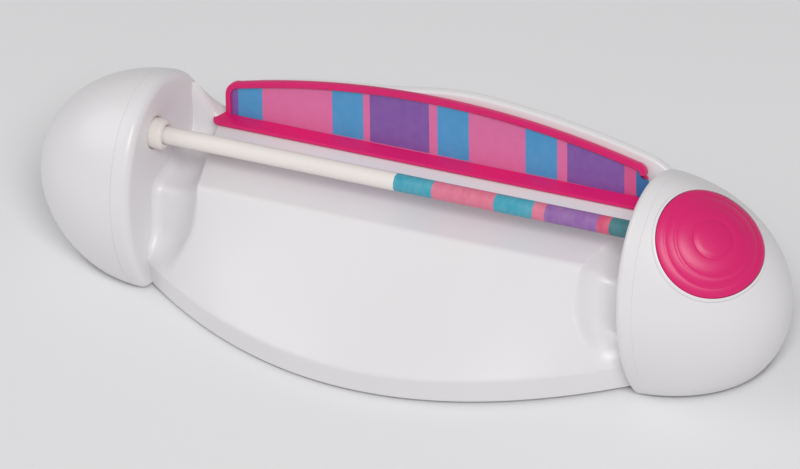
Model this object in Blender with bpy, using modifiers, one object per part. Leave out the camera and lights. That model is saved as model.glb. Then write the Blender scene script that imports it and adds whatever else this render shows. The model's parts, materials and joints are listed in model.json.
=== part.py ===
"""A battery toy that spins a bracelet blank between two round end pods while a pen colours it.

Metres, +Z up. +X points to the pod with the press button and -Y to the person who uses the toy.
The origin is on the surface that the toy stands on, in the middle of its length and width.
"""

import math

import bmesh
import bpy
from mathutils import Matrix, Vector
from mathutils.geometry import convex_hull_2d

MM = 0.001
GAP = 0.3 * MM  # running or seating clearance between two pieces
SHELL = 2.0 * MM  # wall of the mouldings
REACH = 400 * MM  # longer than anything here, for cutters that run right through

# Foot and deck
STAND_OFF = 1.5 * MM  # height at which the rubber feet carry the mouldings
FOOT_HALF_WIDTH = 51.0 * MM
FRONT_AT_FACE = 22.4 * MM  # half width of the foot where its front meets the pods
BACK_AT_FACE = 26.0 * MM
RIM_HEIGHT = 8.2 * MM
CREASE_Y = -14.0 * MM
CREASE_Z = 39.0 * MM
CREASE_ROUND = 1.6 * MM
LEDGE_DROP = 0.4 * MM
STATIONS = 16  # sections along the foot
PANEL_STEPS = (14.0 * MM, 20.0 * MM, 26.0 * MM, 32.0 * MM)  # heights of the front panel's points
LEDGE_STEPS = (-6.0 * MM, 2.0 * MM, 10.0 * MM, 14.5 * MM, 18.0 * MM, 21.5 * MM)  # the ledge, front to back
# Edge of the dips beside the pods, in mm: height on the front panel and distance from the middle
DIP_LINE = ((11.6, 73.4), (16.3, 71.5), (21.9, 68.4), (27.2, 65.9), (32.5, 65.7), (38.0, 67.0))
DIP_SPLAY = 0.25  # how fast that edge runs out towards the back on the ledge
DIP_DEPTH = 7.5 * MM
DIP_WAY = (0.42, -0.91)  # the dips are drawn in square to the crease, back and down
DIP_SOFT = 0.7 * MM  # rounding of the dip's edge

# Pods
FACE_X = 85.0 * MM
POD_REACH = 45.0 * MM
POD_HALF_WIDTH = 32.0 * MM
POD_HALF_HEIGHT = 40.0 * MM
POD_CENTRE_Z = 25.0 * MM
POD_EDGE = 6.0 * MM  # how far the seam lies behind the flat face
POD_ROUND = 3.0 * MM  # rounding round the flat face
EDGE_STEPS = 4
POD_SIDES = 36

# Card frame, which leans back on the wall
FRAME_Y = 20.5 * MM
FRAME_LEAN = math.radians(14.0)
FRAME_HALF_LENGTH = 74.0 * MM
FRAME_END_HEIGHT = 11.9 * MM
FRAME_RISE = 9.5 * MM  # the arch's rise over its ends
FRAME_DEPTH = 2.8 * MM
LIP_WIDTH = 2.0 * MM
LIP_THICKNESS = 0.6 * MM
RAIL_HEIGHT = 1.8 * MM
RAIL_REACH = 4.5 * MM
RAIL_PAST = 1.2 * MM
CARD_THICKNESS = 0.6 * MM
CARD_TAB = 3.2 * MM  # how far the card stands out of the open end
TONGUE_X = 46.0 * MM  # the frame's tongues stand in slots in the ledge
TONGUE_WIDTH = 7.0 * MM
TONGUE_THICKNESS = 1.4 * MM
TONGUE_LENGTH = 3.4 * MM
WALL_THICKNESS = 2.6 * MM
WALL_END_DROP = 4.0 * MM
WALL_OVER_FRAME = 1.5 * MM  # on the right
WALL_UNDER_FRAME = 2.1 * MM  # on the left, where the frame hides the wall
WALL_STEP = (-24.0 * MM, 16.0 * MM)  # between these places it goes from one to the other
WALL_LOW = (-76.0 * MM, -62.0 * MM)  # and here it falls to the ledge

# Bracelet blank and the axis it turns on
SPIN_Y = -5.0 * MM
SPIN_Z = 50.0 * MM
BLANK_RADIUS = 2.9 * MM
BLANK_BORE = 1.2 * MM
SOCKET_DEPTH = 3.8 * MM
SOCKET_WALL = 1.4 * MM
CHUCK_WEB = 1.5 * MM
ROUND_SIDES = 24

# Drive, in the right pod
MODULE = 0.5 * MM
GEAR_TEETH = 28
PINION_TEETH = 10
SMALL_PINION_TEETH = 8
GEAR_WIDTH = 2.4 * MM
GEAR_SPACE = 0.8 * MM  # between the gears' layers
BACKLASH = 0.22  # share of a tooth's thickness taken off
STUB_RADIUS = 1.5 * MM
AXLE_RADIUS = 1.0 * MM
SECOND_ANGLE = math.radians(-75.0)  # from the spindle to the second gear, in the YZ plane
FIRST_ANGLE = math.radians(-120.0)
MOTOR_ANGLE = math.radians(-40.0)
PLATE_THICKNESS = 1.6 * MM
POST_RADIUS = 1.8 * MM
MOTOR_RADIUS = 10.0 * MM
MOTOR_HALF_FLATS = 7.5 * MM
MOTOR_LENGTH = 17.0 * MM
MOTOR_CAP = 3.0 * MM
MOTOR_BOSS = 3.0 * MM

# Tail, in the left pod
TAIL_RADIUS = 5.0 * MM
TAIL_PROUD = 4.0 * MM  # how far the left chuck stands out of the face
TAIL_BODY = 10.5 * MM
TAIL_SHAFT = 2.0 * MM
TAIL_SPRING_LENGTH = 10.4 * MM
TAIL_SPRING_RADIUS = 3.4 * MM
TAIL_WIRE = 0.35 * MM
TAIL_TURNS = 4
WASHER = 0.6 * MM

# Press button, square to the right pod's shoulder
BUTTON_RISE = math.radians(52.0)  # of the button's axis over the level
BUTTON_TURN = math.radians(-30.0)  # towards the user
BUTTON_RADIUS = 17.6 * MM
BUTTON_PROUD = 0.4 * MM
BUTTON_WALL = 1.8 * MM
BUTTON_SKIRT = 3.0 * MM
BUTTON_TRAVEL = 2.5 * MM
RING_WALL = 0.9 * MM
RING_PROUD = 0.5 * MM
RING_DEPTH = 3.4 * MM
STEM_RADIUS = 2.4 * MM
STEM_LENGTH = 12.4 * MM
BAR_DEPTH = 9.9 * MM  # below the crown
BAR_THICKNESS = 1.4 * MM
BAR_WIDTH = 8.0 * MM
BOSS_DEPTH = 3.0 * MM
BUTTON_WIRE = 0.3 * MM
BUTTON_TURNS = 4
BUTTON_SPRING_RADIUS = 3.6 * MM
BRIDGE_INNER = 5.2 * MM
BRIDGE_OUTER = 9.2 * MM
BRIDGE_DEPTH = 5.2 * MM
STRIP_THICKNESS = 0.5 * MM
STRIP_WIDTH = 3.0 * MM
STRIP_END = 13.4 * MM

# Base plate, batteries and fasteners
LOBE_SPACE = 1.0 * MM
BASE_THICKNESS = 2.4 * MM
CELL_LENGTH = 49.5 * MM
CELL_RADIUS = 7.1 * MM
CELL_NUB = 1.0 * MM
CELL_SPACE = 0.8 * MM
SPRING_ROOM = 3.0 * MM
CONTACT = 0.4 * MM
CONTACT_HALF_HEIGHT = 5.7 * MM
CONTACT_WIRE = 0.3 * MM
COVER_THICKNESS = 2.0 * MM
COVER_TAB = 8.6 * MM
COVER_TAB_HALF_WIDTH = 5.7 * MM
SCREW_RADIUS = 1.4 * MM
SCREW_HEAD = 2.7 * MM
SCREW_HEAD_HEIGHT = 1.1 * MM
SCREW_LENGTH = 9.0 * MM
SCREW_BOSS = 3.6 * MM
SCREW_X = 62.0 * MM
SCREW_Y = 24.0 * MM
DOME_SCREW_X = 112.0 * MM
FOOT_PAD_X = 99.0 * MM
FOOT_PAD_Y = 9.5 * MM
FOOT_PAD_RADIUS = 5.0 * MM
LEAD_RADIUS = 0.6 * MM
LEAD_HOLE = 4.0 * MM
LEAD_Z = 12.0 * MM

# Worked out from the sizes above
BASE_TOP = STAND_OFF + BASE_THICKNESS
LEDGE_Z = CREASE_Z - LEDGE_DROP
RIM_TOP = STAND_OFF + RIM_HEIGHT
SEAM_X = FACE_X + POD_EDGE
INNER_FACE = FACE_X + SHELL
FRAME_Z = LEDGE_Z + GAP
GEAR_RADIUS = MODULE * GEAR_TEETH / 2
PINION_RADIUS = MODULE * PINION_TEETH / 2
SMALL_PINION_RADIUS = MODULE * SMALL_PINION_TEETH / 2
SOCKET_RADIUS = BLANK_RADIUS + GAP / 2
CHUCK_RADIUS = SOCKET_RADIUS + SOCKET_WALL
CHUCK_END = FACE_X + SOCKET_DEPTH + CHUCK_WEB
LAYER_A = INNER_FACE + 2 * GAP
LAYER_B = CHUCK_END + GEAR_SPACE
LAYER_C = LAYER_B + GEAR_WIDTH + GEAR_SPACE
PLATE_X = LAYER_C + GEAR_WIDTH + GEAR_SPACE
MOTOR_X = PLATE_X + PLATE_THICKNESS + GAP
TAIL_BACK = -FACE_X + TAIL_PROUD - TAIL_BODY
SPIN = Vector((0.0, SPIN_Y, SPIN_Z))


def polar(radius, angle):
    return Vector((0.0, radius * math.cos(angle), radius * math.sin(angle)))


SECOND = SPIN + polar(GEAR_RADIUS + PINION_RADIUS, SECOND_ANGLE)
FIRST = SECOND + polar(GEAR_RADIUS + SMALL_PINION_RADIUS, FIRST_ANGLE)
MOTOR = FIRST + polar(GEAR_RADIUS + SMALL_PINION_RADIUS, MOTOR_ANGLE)
BUTTON_NORMAL = Vector(
    (
        math.cos(BUTTON_RISE) * math.cos(BUTTON_TURN),
        math.cos(BUTTON_RISE) * math.sin(BUTTON_TURN),
        math.sin(BUTTON_RISE),
    )
)


def button_crown():
    """The point of the pod's surface whose normal is the button's axis."""
    axes = Vector((POD_REACH, POD_HALF_WIDTH, POD_HALF_HEIGHT))
    pull = Vector(axis * axis * part for axis, part in zip(axes, BUTTON_NORMAL))
    scale = math.sqrt(sum((axis * part) ** 2 for axis, part in zip(axes, BUTTON_NORMAL)))
    return Vector((FACE_X, 0.0, POD_CENTRE_Z)) + pull / scale


def front_edge(x):
    """Half width of the foot's front at a place along its length."""
    return FOOT_HALF_WIDTH - (FOOT_HALF_WIDTH - FRONT_AT_FACE) * (x / FACE_X) ** 2


def back_edge(x):
    return FOOT_HALF_WIDTH - (FOOT_HALF_WIDTH - BACK_AT_FACE) * (x / FACE_X) ** 2


def dip_edge(y, z):
    """How far from the middle the dip beside a pod starts, at a place on the deck's section."""
    for (low, first), (high, last) in zip(DIP_LINE, DIP_LINE[1:]):
        if z <= high * MM:
            share = max((z / MM - low) / (high - low), 0.0)
            return (first + (last - first) * share) * MM
    return DIP_LINE[-1][1] * MM + DIP_SPLAY * (y - CREASE_Y)


def dipped(x, y, z, inset=(0.0, 0.0)):
    """A point of the deck's section, drawn in by the dip beside a pod, and by a wall for the room inside."""
    edge = dip_edge(y, z)
    past = max(abs(x) + inset[0] / 2 - edge, 0.0)
    past = past**2 / (2 * DIP_SOFT) if past < DIP_SOFT else past - DIP_SOFT / 2
    share = min(past / (FACE_X - edge - DIP_SOFT / 2), 1.0)
    fade = eased(z, 9 * MM, 27 * MM) * (1 - eased(y, 14 * MM, 23 * MM))
    depth = DIP_DEPTH * (1 - (1 - share) ** 4) * fade
    return (x, y + inset[0] + DIP_WAY[0] * depth, z - inset[1] + DIP_WAY[1] * depth)


def deck_stations(end):
    """Places of the deck's sections: wide apart in the middle and close together where the dips are."""
    near = [place * MM for place in (64.3, 65.9, 67.6, 69.1, 70.7, 72.1, 73.8, 75.6, 78.3, 81.4)]
    return [-end] + [-x for x in reversed(near)] + spaced(-59.2 * MM, 59.2 * MM, 13) + near + [end]


def panel_y(x, z):
    """Y of the sloping front panel at a height, without the dips."""
    share = (z - RIM_TOP) / (CREASE_Z - CREASE_ROUND - RIM_TOP)
    return (CREASE_Y - CREASE_ROUND + front_edge(x)) * share - front_edge(x)


def frame_height(x):
    """Height of the arched card frame over its foot, measured along its lean."""
    return FRAME_END_HEIGHT + FRAME_RISE * (1 - (x / FRAME_HALF_LENGTH) ** 2)


def eased(value, low, high):
    """0 below low, 1 above high, and a soft step between."""
    share = min(max((value - low) / (high - low), 0.0), 1.0)
    return share * share * (3 - 2 * share)


def wall_top(x):
    """Height of the back wall, which falls to the ledge at the left and drops to the right pod."""
    past = max(min(x, FACE_X) - FRAME_HALF_LENGTH, 0.0) / (FACE_X - FRAME_HALF_LENGTH)
    over = WALL_OVER_FRAME - (WALL_OVER_FRAME + WALL_UNDER_FRAME) * (1 - eased(x, *WALL_STEP))
    top = FRAME_Z + (frame_height(x) + over) * math.cos(FRAME_LEAN) - WALL_END_DROP * past**2
    low = LEDGE_Z + GAP
    return low + (top - low) * eased(x, *WALL_LOW)


def wall_front(z):
    """Y of the back wall's leaning front, just behind the card frame."""
    return FRAME_Y + (FRAME_DEPTH + GAP) / math.cos(FRAME_LEAN) + (z - FRAME_Z) * math.tan(FRAME_LEAN)


# Scene and helpers


def clear_scene():
    for thing in list(bpy.data.objects):
        bpy.data.objects.remove(thing, do_unlink=True)


def new_collection(name):
    made = bpy.data.collections.new(name)
    bpy.context.scene.collection.children.link(made)
    return made


clear_scene()
PARTS = new_collection("bracelet_maker")
CUTTERS = new_collection("cutters")


def material(name, colour, roughness, metallic=0.0):
    made = bpy.data.materials.new(name)
    made.use_nodes = True
    shader = made.node_tree.nodes["Principled BSDF"]
    shader.inputs["Base Color"].default_value = (*colour, 1.0)
    shader.inputs["Roughness"].default_value = roughness
    shader.inputs["Metallic"].default_value = metallic
    return made


WHITE = material("white_plastic", (0.80, 0.79, 0.80), 0.32)
MAGENTA = material("magenta_plastic", (0.70, 0.02, 0.16), 0.28)
CARD = material("printed_card", (0.70, 0.16, 0.39), 0.55)
SOFT_WHITE = material("soft_white_plastic", (0.82, 0.80, 0.79), 0.5)
NATURAL = material("natural_nylon", (0.75, 0.73, 0.66), 0.45)
STEEL = material("steel", (0.55, 0.55, 0.56), 0.3, 1.0)
BRASS = material("brass", (0.68, 0.46, 0.17), 0.3, 1.0)
RUBBER = material("grey_rubber", (0.12, 0.12, 0.13), 0.8)
BLACK = material("black_plastic", (0.02, 0.02, 0.022), 0.45)
CELL = material("cell_sleeve", (0.05, 0.12, 0.10), 0.4, 0.2)
RED_LEAD = material("red_lead", (0.55, 0.02, 0.02), 0.5)
BLACK_LEAD = material("black_lead", (0.02, 0.02, 0.02), 0.5)


def empty(name, location, matrix=None):
    made = bpy.data.objects.new(name, None)
    PARTS.objects.link(made)
    made.matrix_world = Matrix.Translation(location) @ (matrix or Matrix.Identity(4))
    return made


# The card frame's own axes
LEAN = empty("frame_lean", (0, FRAME_Y, FRAME_Z), Matrix.Rotation(-FRAME_LEAN, 4, "X"))


def add_object(name, mesh, look=None, location=(0, 0, 0), rotation=(0, 0, 0), parent=None):
    """Links a mesh as a piece if it has a look, and otherwise as a hidden cutter."""
    made = bpy.data.objects.new(name, mesh)
    made.location = location
    made.rotation_euler = rotation
    made.parent = parent
    if look is None:
        CUTTERS.objects.link(made)
        made.hide_render = True
        made.display_type = "WIRE"
    else:
        PARTS.objects.link(made)
        mesh.materials.append(look)
        mesh.shade_smooth()
        mesh.set_sharp_from_angle(angle=math.radians(35))
    return made


def mesh_from(name, bm):
    bmesh.ops.recalc_face_normals(bm, faces=bm.faces)
    mesh = bpy.data.meshes.new(name)
    bm.to_mesh(mesh)
    bm.free()
    return mesh


def box(name, low, high, look=None, **place):
    """A box between two corners, in its own axes."""
    low, high = Vector(low), Vector(high)
    bm = bmesh.new()
    bmesh.ops.create_cube(bm, size=1.0)
    bmesh.ops.scale(bm, vec=high - low, verts=bm.verts)
    bmesh.ops.translate(bm, vec=(high + low) / 2, verts=bm.verts)
    return add_object(name, mesh_from(name, bm), look, **place)


def cylinder(name, radius, low, high, look=None, sides=ROUND_SIDES, **place):
    """A cylinder along its own Z, between two heights."""
    bm = bmesh.new()
    bmesh.ops.create_cone(
        bm, cap_ends=True, segments=sides, radius1=radius, radius2=radius, depth=high - low
    )
    bmesh.ops.translate(bm, vec=(0, 0, (high + low) / 2), verts=bm.verts)
    return add_object(name, mesh_from(name, bm), look, **place)


def turned(name, profile, look, sides=ROUND_SIDES, ring=False, **place):
    """Turns a profile of (radius, height) points about its own Z."""
    mesh = bpy.data.meshes.new(name)
    links = [(at, at + 1) for at in range(len(profile) - 1)]
    if ring:
        links.append((len(profile) - 1, 0))
    mesh.from_pydata([(radius, 0.0, height) for radius, height in profile], links, [])
    made = add_object(name, mesh, look, **place)
    screw = made.modifiers.new("turn", "SCREW")
    screw.steps = sides
    screw.render_steps = sides
    screw.use_merge_vertices = True
    screw.merge_threshold = 0.00001
    return made


def extruded(name, outlines, low, high, look=None, **place):
    """A flat outline, with any holes, between two heights along its own Z."""
    curve = bpy.data.curves.new(name, "CURVE")
    curve.dimensions = "2D"
    curve.fill_mode = "BOTH"
    curve.extrude = (high - low) / 2
    for outline in outlines:
        spline = curve.splines.new("POLY")
        spline.points.add(len(outline) - 1)
        for point, (x, y) in zip(spline.points, outline):
            point.co = (x, y, 0.0, 1.0)
        spline.use_cyclic_u = True
    drawn = bpy.data.objects.new(name + "_outline", curve)
    CUTTERS.objects.link(drawn)
    bpy.context.view_layer.update()
    graph = bpy.context.evaluated_depsgraph_get()
    flat = bpy.data.meshes.new_from_object(drawn.evaluated_get(graph))
    bpy.data.objects.remove(drawn, do_unlink=True)
    bm = bmesh.new()
    bm.from_mesh(flat)
    bpy.data.meshes.remove(flat)
    bmesh.ops.remove_doubles(bm, verts=bm.verts, dist=0.000001)
    bmesh.ops.translate(bm, vec=(0, 0, (high + low) / 2), verts=bm.verts)
    return add_object(name, mesh_from(name, bm), look, **place)


def loft(name, sections, look=None, **place):
    """Joins closed sections of as many points each, and closes both ends."""
    bm = bmesh.new()
    rings = [[bm.verts.new(point) for point in section] for section in sections]
    for ring, following in zip(rings, rings[1:]):
        for at in range(len(ring)):
            after = (at + 1) % len(ring)
            bm.faces.new((ring[at], ring[after], following[after], following[at]))
    bm.faces.new(rings[0])
    bm.faces.new(rings[-1])
    return add_object(name, mesh_from(name, bm), look, **place)


def tube(name, points, radius, look, sides=1, **place):
    """A round wire through the points, with flat ends."""
    curve = bpy.data.curves.new(name, "CURVE")
    curve.dimensions = "3D"
    curve.bevel_depth = radius
    curve.bevel_resolution = sides
    curve.use_fill_caps = True
    spline = curve.splines.new("POLY")
    spline.points.add(len(points) - 1)
    for point, place_at in zip(spline.points, points):
        point.co = (*place_at, 1.0)
    made = bpy.data.objects.new(name, curve)
    made.location = place.get("location", (0, 0, 0))
    made.rotation_euler = place.get("rotation", (0, 0, 0))
    made.parent = place.get("parent")
    curve.materials.append(look)
    PARTS.objects.link(made)
    return made


def coil(name, radius, wire, turns, low, high, look, **place):
    """A compression spring along its own Z, between two heights, as one unbroken wire."""
    steps = 9
    count = turns * steps
    points = []
    for step in range(count + 1):
        angle = 2 * math.pi * step / steps
        height = low + wire + (high - low - 2 * wire) * step / count
        points.append((radius * math.cos(angle), radius * math.sin(angle), height))
    return tube(name, points, wire, look, **place)


def boolean(target, tool, operation):
    cut = target.modifiers.new(tool.name, "BOOLEAN")
    cut.object = tool
    cut.operation = operation
    cut.solver = "EXACT"
    return target


def cut(target, *tools):
    for tool in tools:
        boolean(target, tool, "DIFFERENCE")
    return target


def join(target, *tools):
    for tool in tools:
        boolean(target, tool, "UNION")
    return target


def keep(target, tool):
    return boolean(target, tool, "INTERSECT")


ALONG_X = (0, math.radians(90), 0)  # turns a piece's own Z to +X


def circle(radius, sides=ROUND_SIDES, centre=(0.0, 0.0)):
    steps = [2 * math.pi * at / sides for at in range(sides)]
    return [(centre[0] + radius * math.cos(a), centre[1] + radius * math.sin(a)) for a in steps]


def spaced(low, high, count):
    return [low + (high - low) * at / (count - 1) for at in range(count)]


# Pods


def pod_ellipsoid(name, side, inset, sides=POD_SIDES, look=None):
    """The whole ellipsoid that a pod's dome is half of, drawn in by a wall."""
    bm = bmesh.new()
    bmesh.ops.create_uvsphere(bm, u_segments=sides, v_segments=sides // 2, radius=1.0)
    bmesh.ops.rotate(bm, cent=(0, 0, 0), matrix=Matrix.Rotation(math.radians(90), 3, "Y"), verts=bm.verts)
    half_axes = (POD_REACH - inset, POD_HALF_WIDTH - inset, POD_HALF_HEIGHT - inset)
    bmesh.ops.scale(bm, vec=half_axes, verts=bm.verts)
    return add_object(name, mesh_from(name, bm), look, location=(side * FACE_X, 0, POD_CENTRE_Z))


def pod_half_axes(depth, inset):
    """Half width and half height of a pod at a depth behind its face, drawn in by a wall."""
    rounding = POD_ROUND - inset
    across = min(max(depth - inset, 0.0), rounding)
    drawn_in = inset + rounding - math.sqrt(rounding**2 - (rounding - across) ** 2)
    swell = math.sqrt(1 - (depth / POD_REACH) ** 2)
    return POD_HALF_WIDTH * swell - drawn_in, POD_HALF_HEIGHT * swell - drawn_in


def pod_edge(name, side, inset, end):
    """The short drum from a pod's flat face to its seam, with the rounded edge between them."""
    rounding = POD_ROUND - inset
    turns = [math.radians(90) * at / EDGE_STEPS for at in range(EDGE_STEPS + 1)]
    steps = [inset + rounding * (1 - math.cos(turn)) for turn in turns]
    ring = circle(1.0, POD_SIDES)
    sections = []
    for depth in steps + [end]:
        half_width, half_height = pod_half_axes(min(depth, POD_EDGE), inset)
        sections.append(
            [(side * (FACE_X + depth), y * half_width, POD_CENTRE_Z + z * half_height) for y, z in ring]
        )
    return loft(name, sections)


def make_dome(name, side, ground):
    """The outer shell of a pod, open at its seam and at its foot."""
    dome = pod_ellipsoid(name, side, 0.0, look=WHITE)
    hollow = pod_ellipsoid(name + "_hollow", side, SHELL, 24)
    boss = cylinder(
        name + "_boss", SCREW_BOSS, BASE_TOP + GAP, BASE_TOP + SCREW_LENGTH,
        location=(side * DOME_SCREW_X, 0, 0),
    )
    web_ends = sorted((side * DOME_SCREW_X, side * (FACE_X + POD_REACH)))
    web = box(
        name + "_web",
        (web_ends[0], -SHELL / 2, BASE_TOP + GAP),
        (web_ends[1], SHELL / 2, BASE_TOP + SCREW_LENGTH),
    )
    cut(hollow, boss, web)
    inner = sorted((0.0, side * (SEAM_X + GAP)))
    mouth = box(name + "_mouth", (inner[0], -REACH, -REACH), (inner[1], REACH, REACH))
    if side < 0:
        mouth_end = box(name + "_far", (0, -REACH, -REACH), (REACH, REACH, REACH))
    else:
        mouth_end = box(name + "_far", (-REACH, -REACH, -REACH), (0, REACH, REACH))
    pilot = screw_hole(name + "_pilot", side * DOME_SCREW_X, 0)
    return cut(dome, hollow, mouth, mouth_end, ground, pilot)


# Deck housing


def deck_section(x):
    crest = wall_top(x)
    crest_y = wall_front(crest)
    return [
        (x, -front_edge(x), 0.0),
        (x, -front_edge(x), RIM_TOP),
        *[dipped(x, panel_y(x, z), z) for z in PANEL_STEPS],
        dipped(x, CREASE_Y - CREASE_ROUND, CREASE_Z - CREASE_ROUND),
        dipped(x, CREASE_Y + CREASE_ROUND, LEDGE_Z),
        *[dipped(x, y, LEDGE_Z) for y in LEDGE_STEPS],
        (x, wall_front(LEDGE_Z), LEDGE_Z),
        (x, crest_y, crest),
        (x, crest_y + WALL_THICKNESS, crest),
        (x, back_edge(x), RIM_TOP),
        (x, back_edge(x), 0.0),
    ]


def hollow_section(x):
    """The room inside the deck, which also runs up into the back wall."""
    crest = max(wall_top(x) - 3 * SHELL, LEDGE_Z - SHELL + GAP)
    slope = (back_edge(x) - wall_front(wall_top(x)) - WALL_THICKNESS) / (wall_top(x) - RIM_TOP)
    behind = wall_front(wall_top(x)) + WALL_THICKNESS
    crest_back = behind + slope * (wall_top(x) - crest) - 1.2 * SHELL
    crest_front = min(wall_front(crest) + SHELL, crest_back - 0.2 * SHELL)
    return [
        (x, -front_edge(x) + SHELL, -SHELL),
        (x, -front_edge(x) + SHELL, RIM_TOP - SHELL / 2),
        *[dipped(x, panel_y(x, z), z, (1.3 * SHELL, 0.0)) for z in PANEL_STEPS],
        dipped(x, CREASE_Y - CREASE_ROUND, CREASE_Z - CREASE_ROUND, (CREASE_ROUND, SHELL)),
        dipped(x, CREASE_Y + CREASE_ROUND, LEDGE_Z, (CREASE_ROUND, SHELL)),
        *[dipped(x, y, LEDGE_Z, (SHELL / 2, SHELL)) for y in LEDGE_STEPS],
        (x, min(wall_front(LEDGE_Z) + SHELL, crest_front), LEDGE_Z - SHELL),
        (x, crest_front, crest),
        (x, crest_back, crest),
        (x, back_edge(x) - SHELL, RIM_TOP - SHELL / 2),
        (x, back_edge(x) - SHELL, -SHELL),
    ]


def screw_places():
    return [(x, y) for x in (-SCREW_X, SCREW_X) for y in (-SCREW_Y, SCREW_Y)]


def screw_hole(name, x, y):
    return cylinder(
        name, SCREW_RADIUS + GAP, 0.0, STAND_OFF + SCREW_LENGTH + 2 * GAP, sides=12, location=(x, y, 0)
    )


def tongue(name, side, grow, above):
    """The bar under the card frame that stands in a slot in the ledge; a cutter if it grows by a gap."""
    x, y = side * TONGUE_X, FRAME_DEPTH / 2
    across, deep = TONGUE_WIDTH / 2 + grow, TONGUE_THICKNESS / 2 + grow
    low = (x - across, y - deep, -TONGUE_LENGTH - grow)
    return box(name, low, (x + across, y + deep, above), parent=LEAN)


def make_housing(ground):
    """The one moulding of deck, front panel, back wall and both flat pod faces."""
    deck_end = FACE_X + SHELL - GAP
    housing = loft("housing", [deck_section(x) for x in deck_stations(deck_end)], WHITE)
    for side, name in ((-1, "left_edge"), (1, "right_edge")):
        join(housing, pod_edge(name, side, 0.0, POD_EDGE))
        cut(housing, pod_edge(name + "_hollow", side, SHELL, POD_EDGE + SHELL))
    hollow_end = FACE_X + GAP
    hollow = loft("deck_hollow", [hollow_section(x) for x in deck_stations(hollow_end)])
    for at, (x, y) in enumerate(screw_places(), 1):
        cut(hollow, cylinder(f"boss_{at}", SCREW_BOSS, BASE_TOP + GAP, REACH, location=(x, y, 0)))
    cut(housing, hollow)
    for at, (x, y) in enumerate(screw_places(), 1):
        cut(housing, screw_hole(f"pilot_{at}", x, y))
    for side in (-1, 1):
        cut(housing, tongue(f"tongue_slot_{side}", side, GAP, 2 * SHELL))
    bore = {-1: TAIL_RADIUS + SHELL / 2, 1: CHUCK_RADIUS + SHELL / 2}
    for side, radius in bore.items():
        hole = cylinder(
            f"spindle_hole_{side}", radius + 2 * GAP, -2 * SHELL, 2 * SHELL,
            location=(side * FACE_X, SPIN_Y, SPIN_Z), rotation=ALONG_X,
        )
        cut(housing, hole)
    lead_hole = cylinder(
        "lead_hole", LEAD_HOLE, -2 * SHELL, 3 * SHELL, sides=16,
        location=(FACE_X, 0, LEAD_Z), rotation=ALONG_X,
    )
    slot = extruded("base_slot", [base_outline(GAP)], 0.0, BASE_TOP + GAP)
    return cut(housing, lead_hole, slot, ground)


# Base plate and what it carries


def base_outline(grow):
    """The foot's outline inside the shells, with a lobe under each pod."""
    xs = spaced(-FACE_X, FACE_X, STATIONS + 1)
    drawn_in = SHELL + GAP - grow
    lowest = math.sqrt(1 - ((POD_CENTRE_Z - STAND_OFF) / (POD_HALF_HEIGHT - SHELL - LOBE_SPACE)) ** 2)
    tip = (POD_REACH - SHELL - LOBE_SPACE) * lowest
    depths = [0.0, SHELL, POD_EDGE / 2, POD_EDGE] + [tip * share for share in (0.4, 0.6, 0.75, 0.87, 0.95)]
    side = [(depth + min(grow, depth), pod_foot(depth) + grow) for depth in depths]
    lobe = [(x, -y) for x, y in side] + [(tip + grow, 0.0)] + side[::-1]
    front = [(x, drawn_in - front_edge(x)) for x in xs]
    right = [(FACE_X + x, y) for x, y in lobe]
    back = [(x, back_edge(x) - drawn_in) for x in reversed(xs)]
    left = [(-FACE_X - x, -y) for x, y in lobe]
    return front + right + back + left


def pod_foot(depth):
    """Half width of the room at a pod's foot, at a depth behind its face."""
    half_width, half_height = pod_half_axes(depth, SHELL)
    lift = 1 - ((POD_CENTRE_Z - STAND_OFF) / (half_height - LOBE_SPACE)) ** 2
    return (half_width - LOBE_SPACE) * math.sqrt(max(lift, 0.0))


CELL_Y = CELL_RADIUS + CELL_SPACE / 2
CELL_Z = STAND_OFF + COVER_THICKNESS + GAP + CELL_RADIUS
BAY_HALF_LENGTH = (CELL_LENGTH + CELL_NUB) / 2 + SPRING_ROOM + CONTACT + GAP
BAY_HALF_WIDTH = 2 * CELL_RADIUS + CELL_SPACE
BAY_TOP = CELL_Z + CELL_RADIUS + CELL_SPACE
COVER_SCREW_X = BAY_HALF_LENGTH + COVER_TAB - SCREW_HEAD - SHELL / 2


def head_recess(name, x, y):
    return cylinder(
        name, SCREW_HEAD + GAP, 0.0, STAND_OFF + SCREW_HEAD_HEIGHT + GAP, sides=16, location=(x, y, 0)
    )


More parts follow.
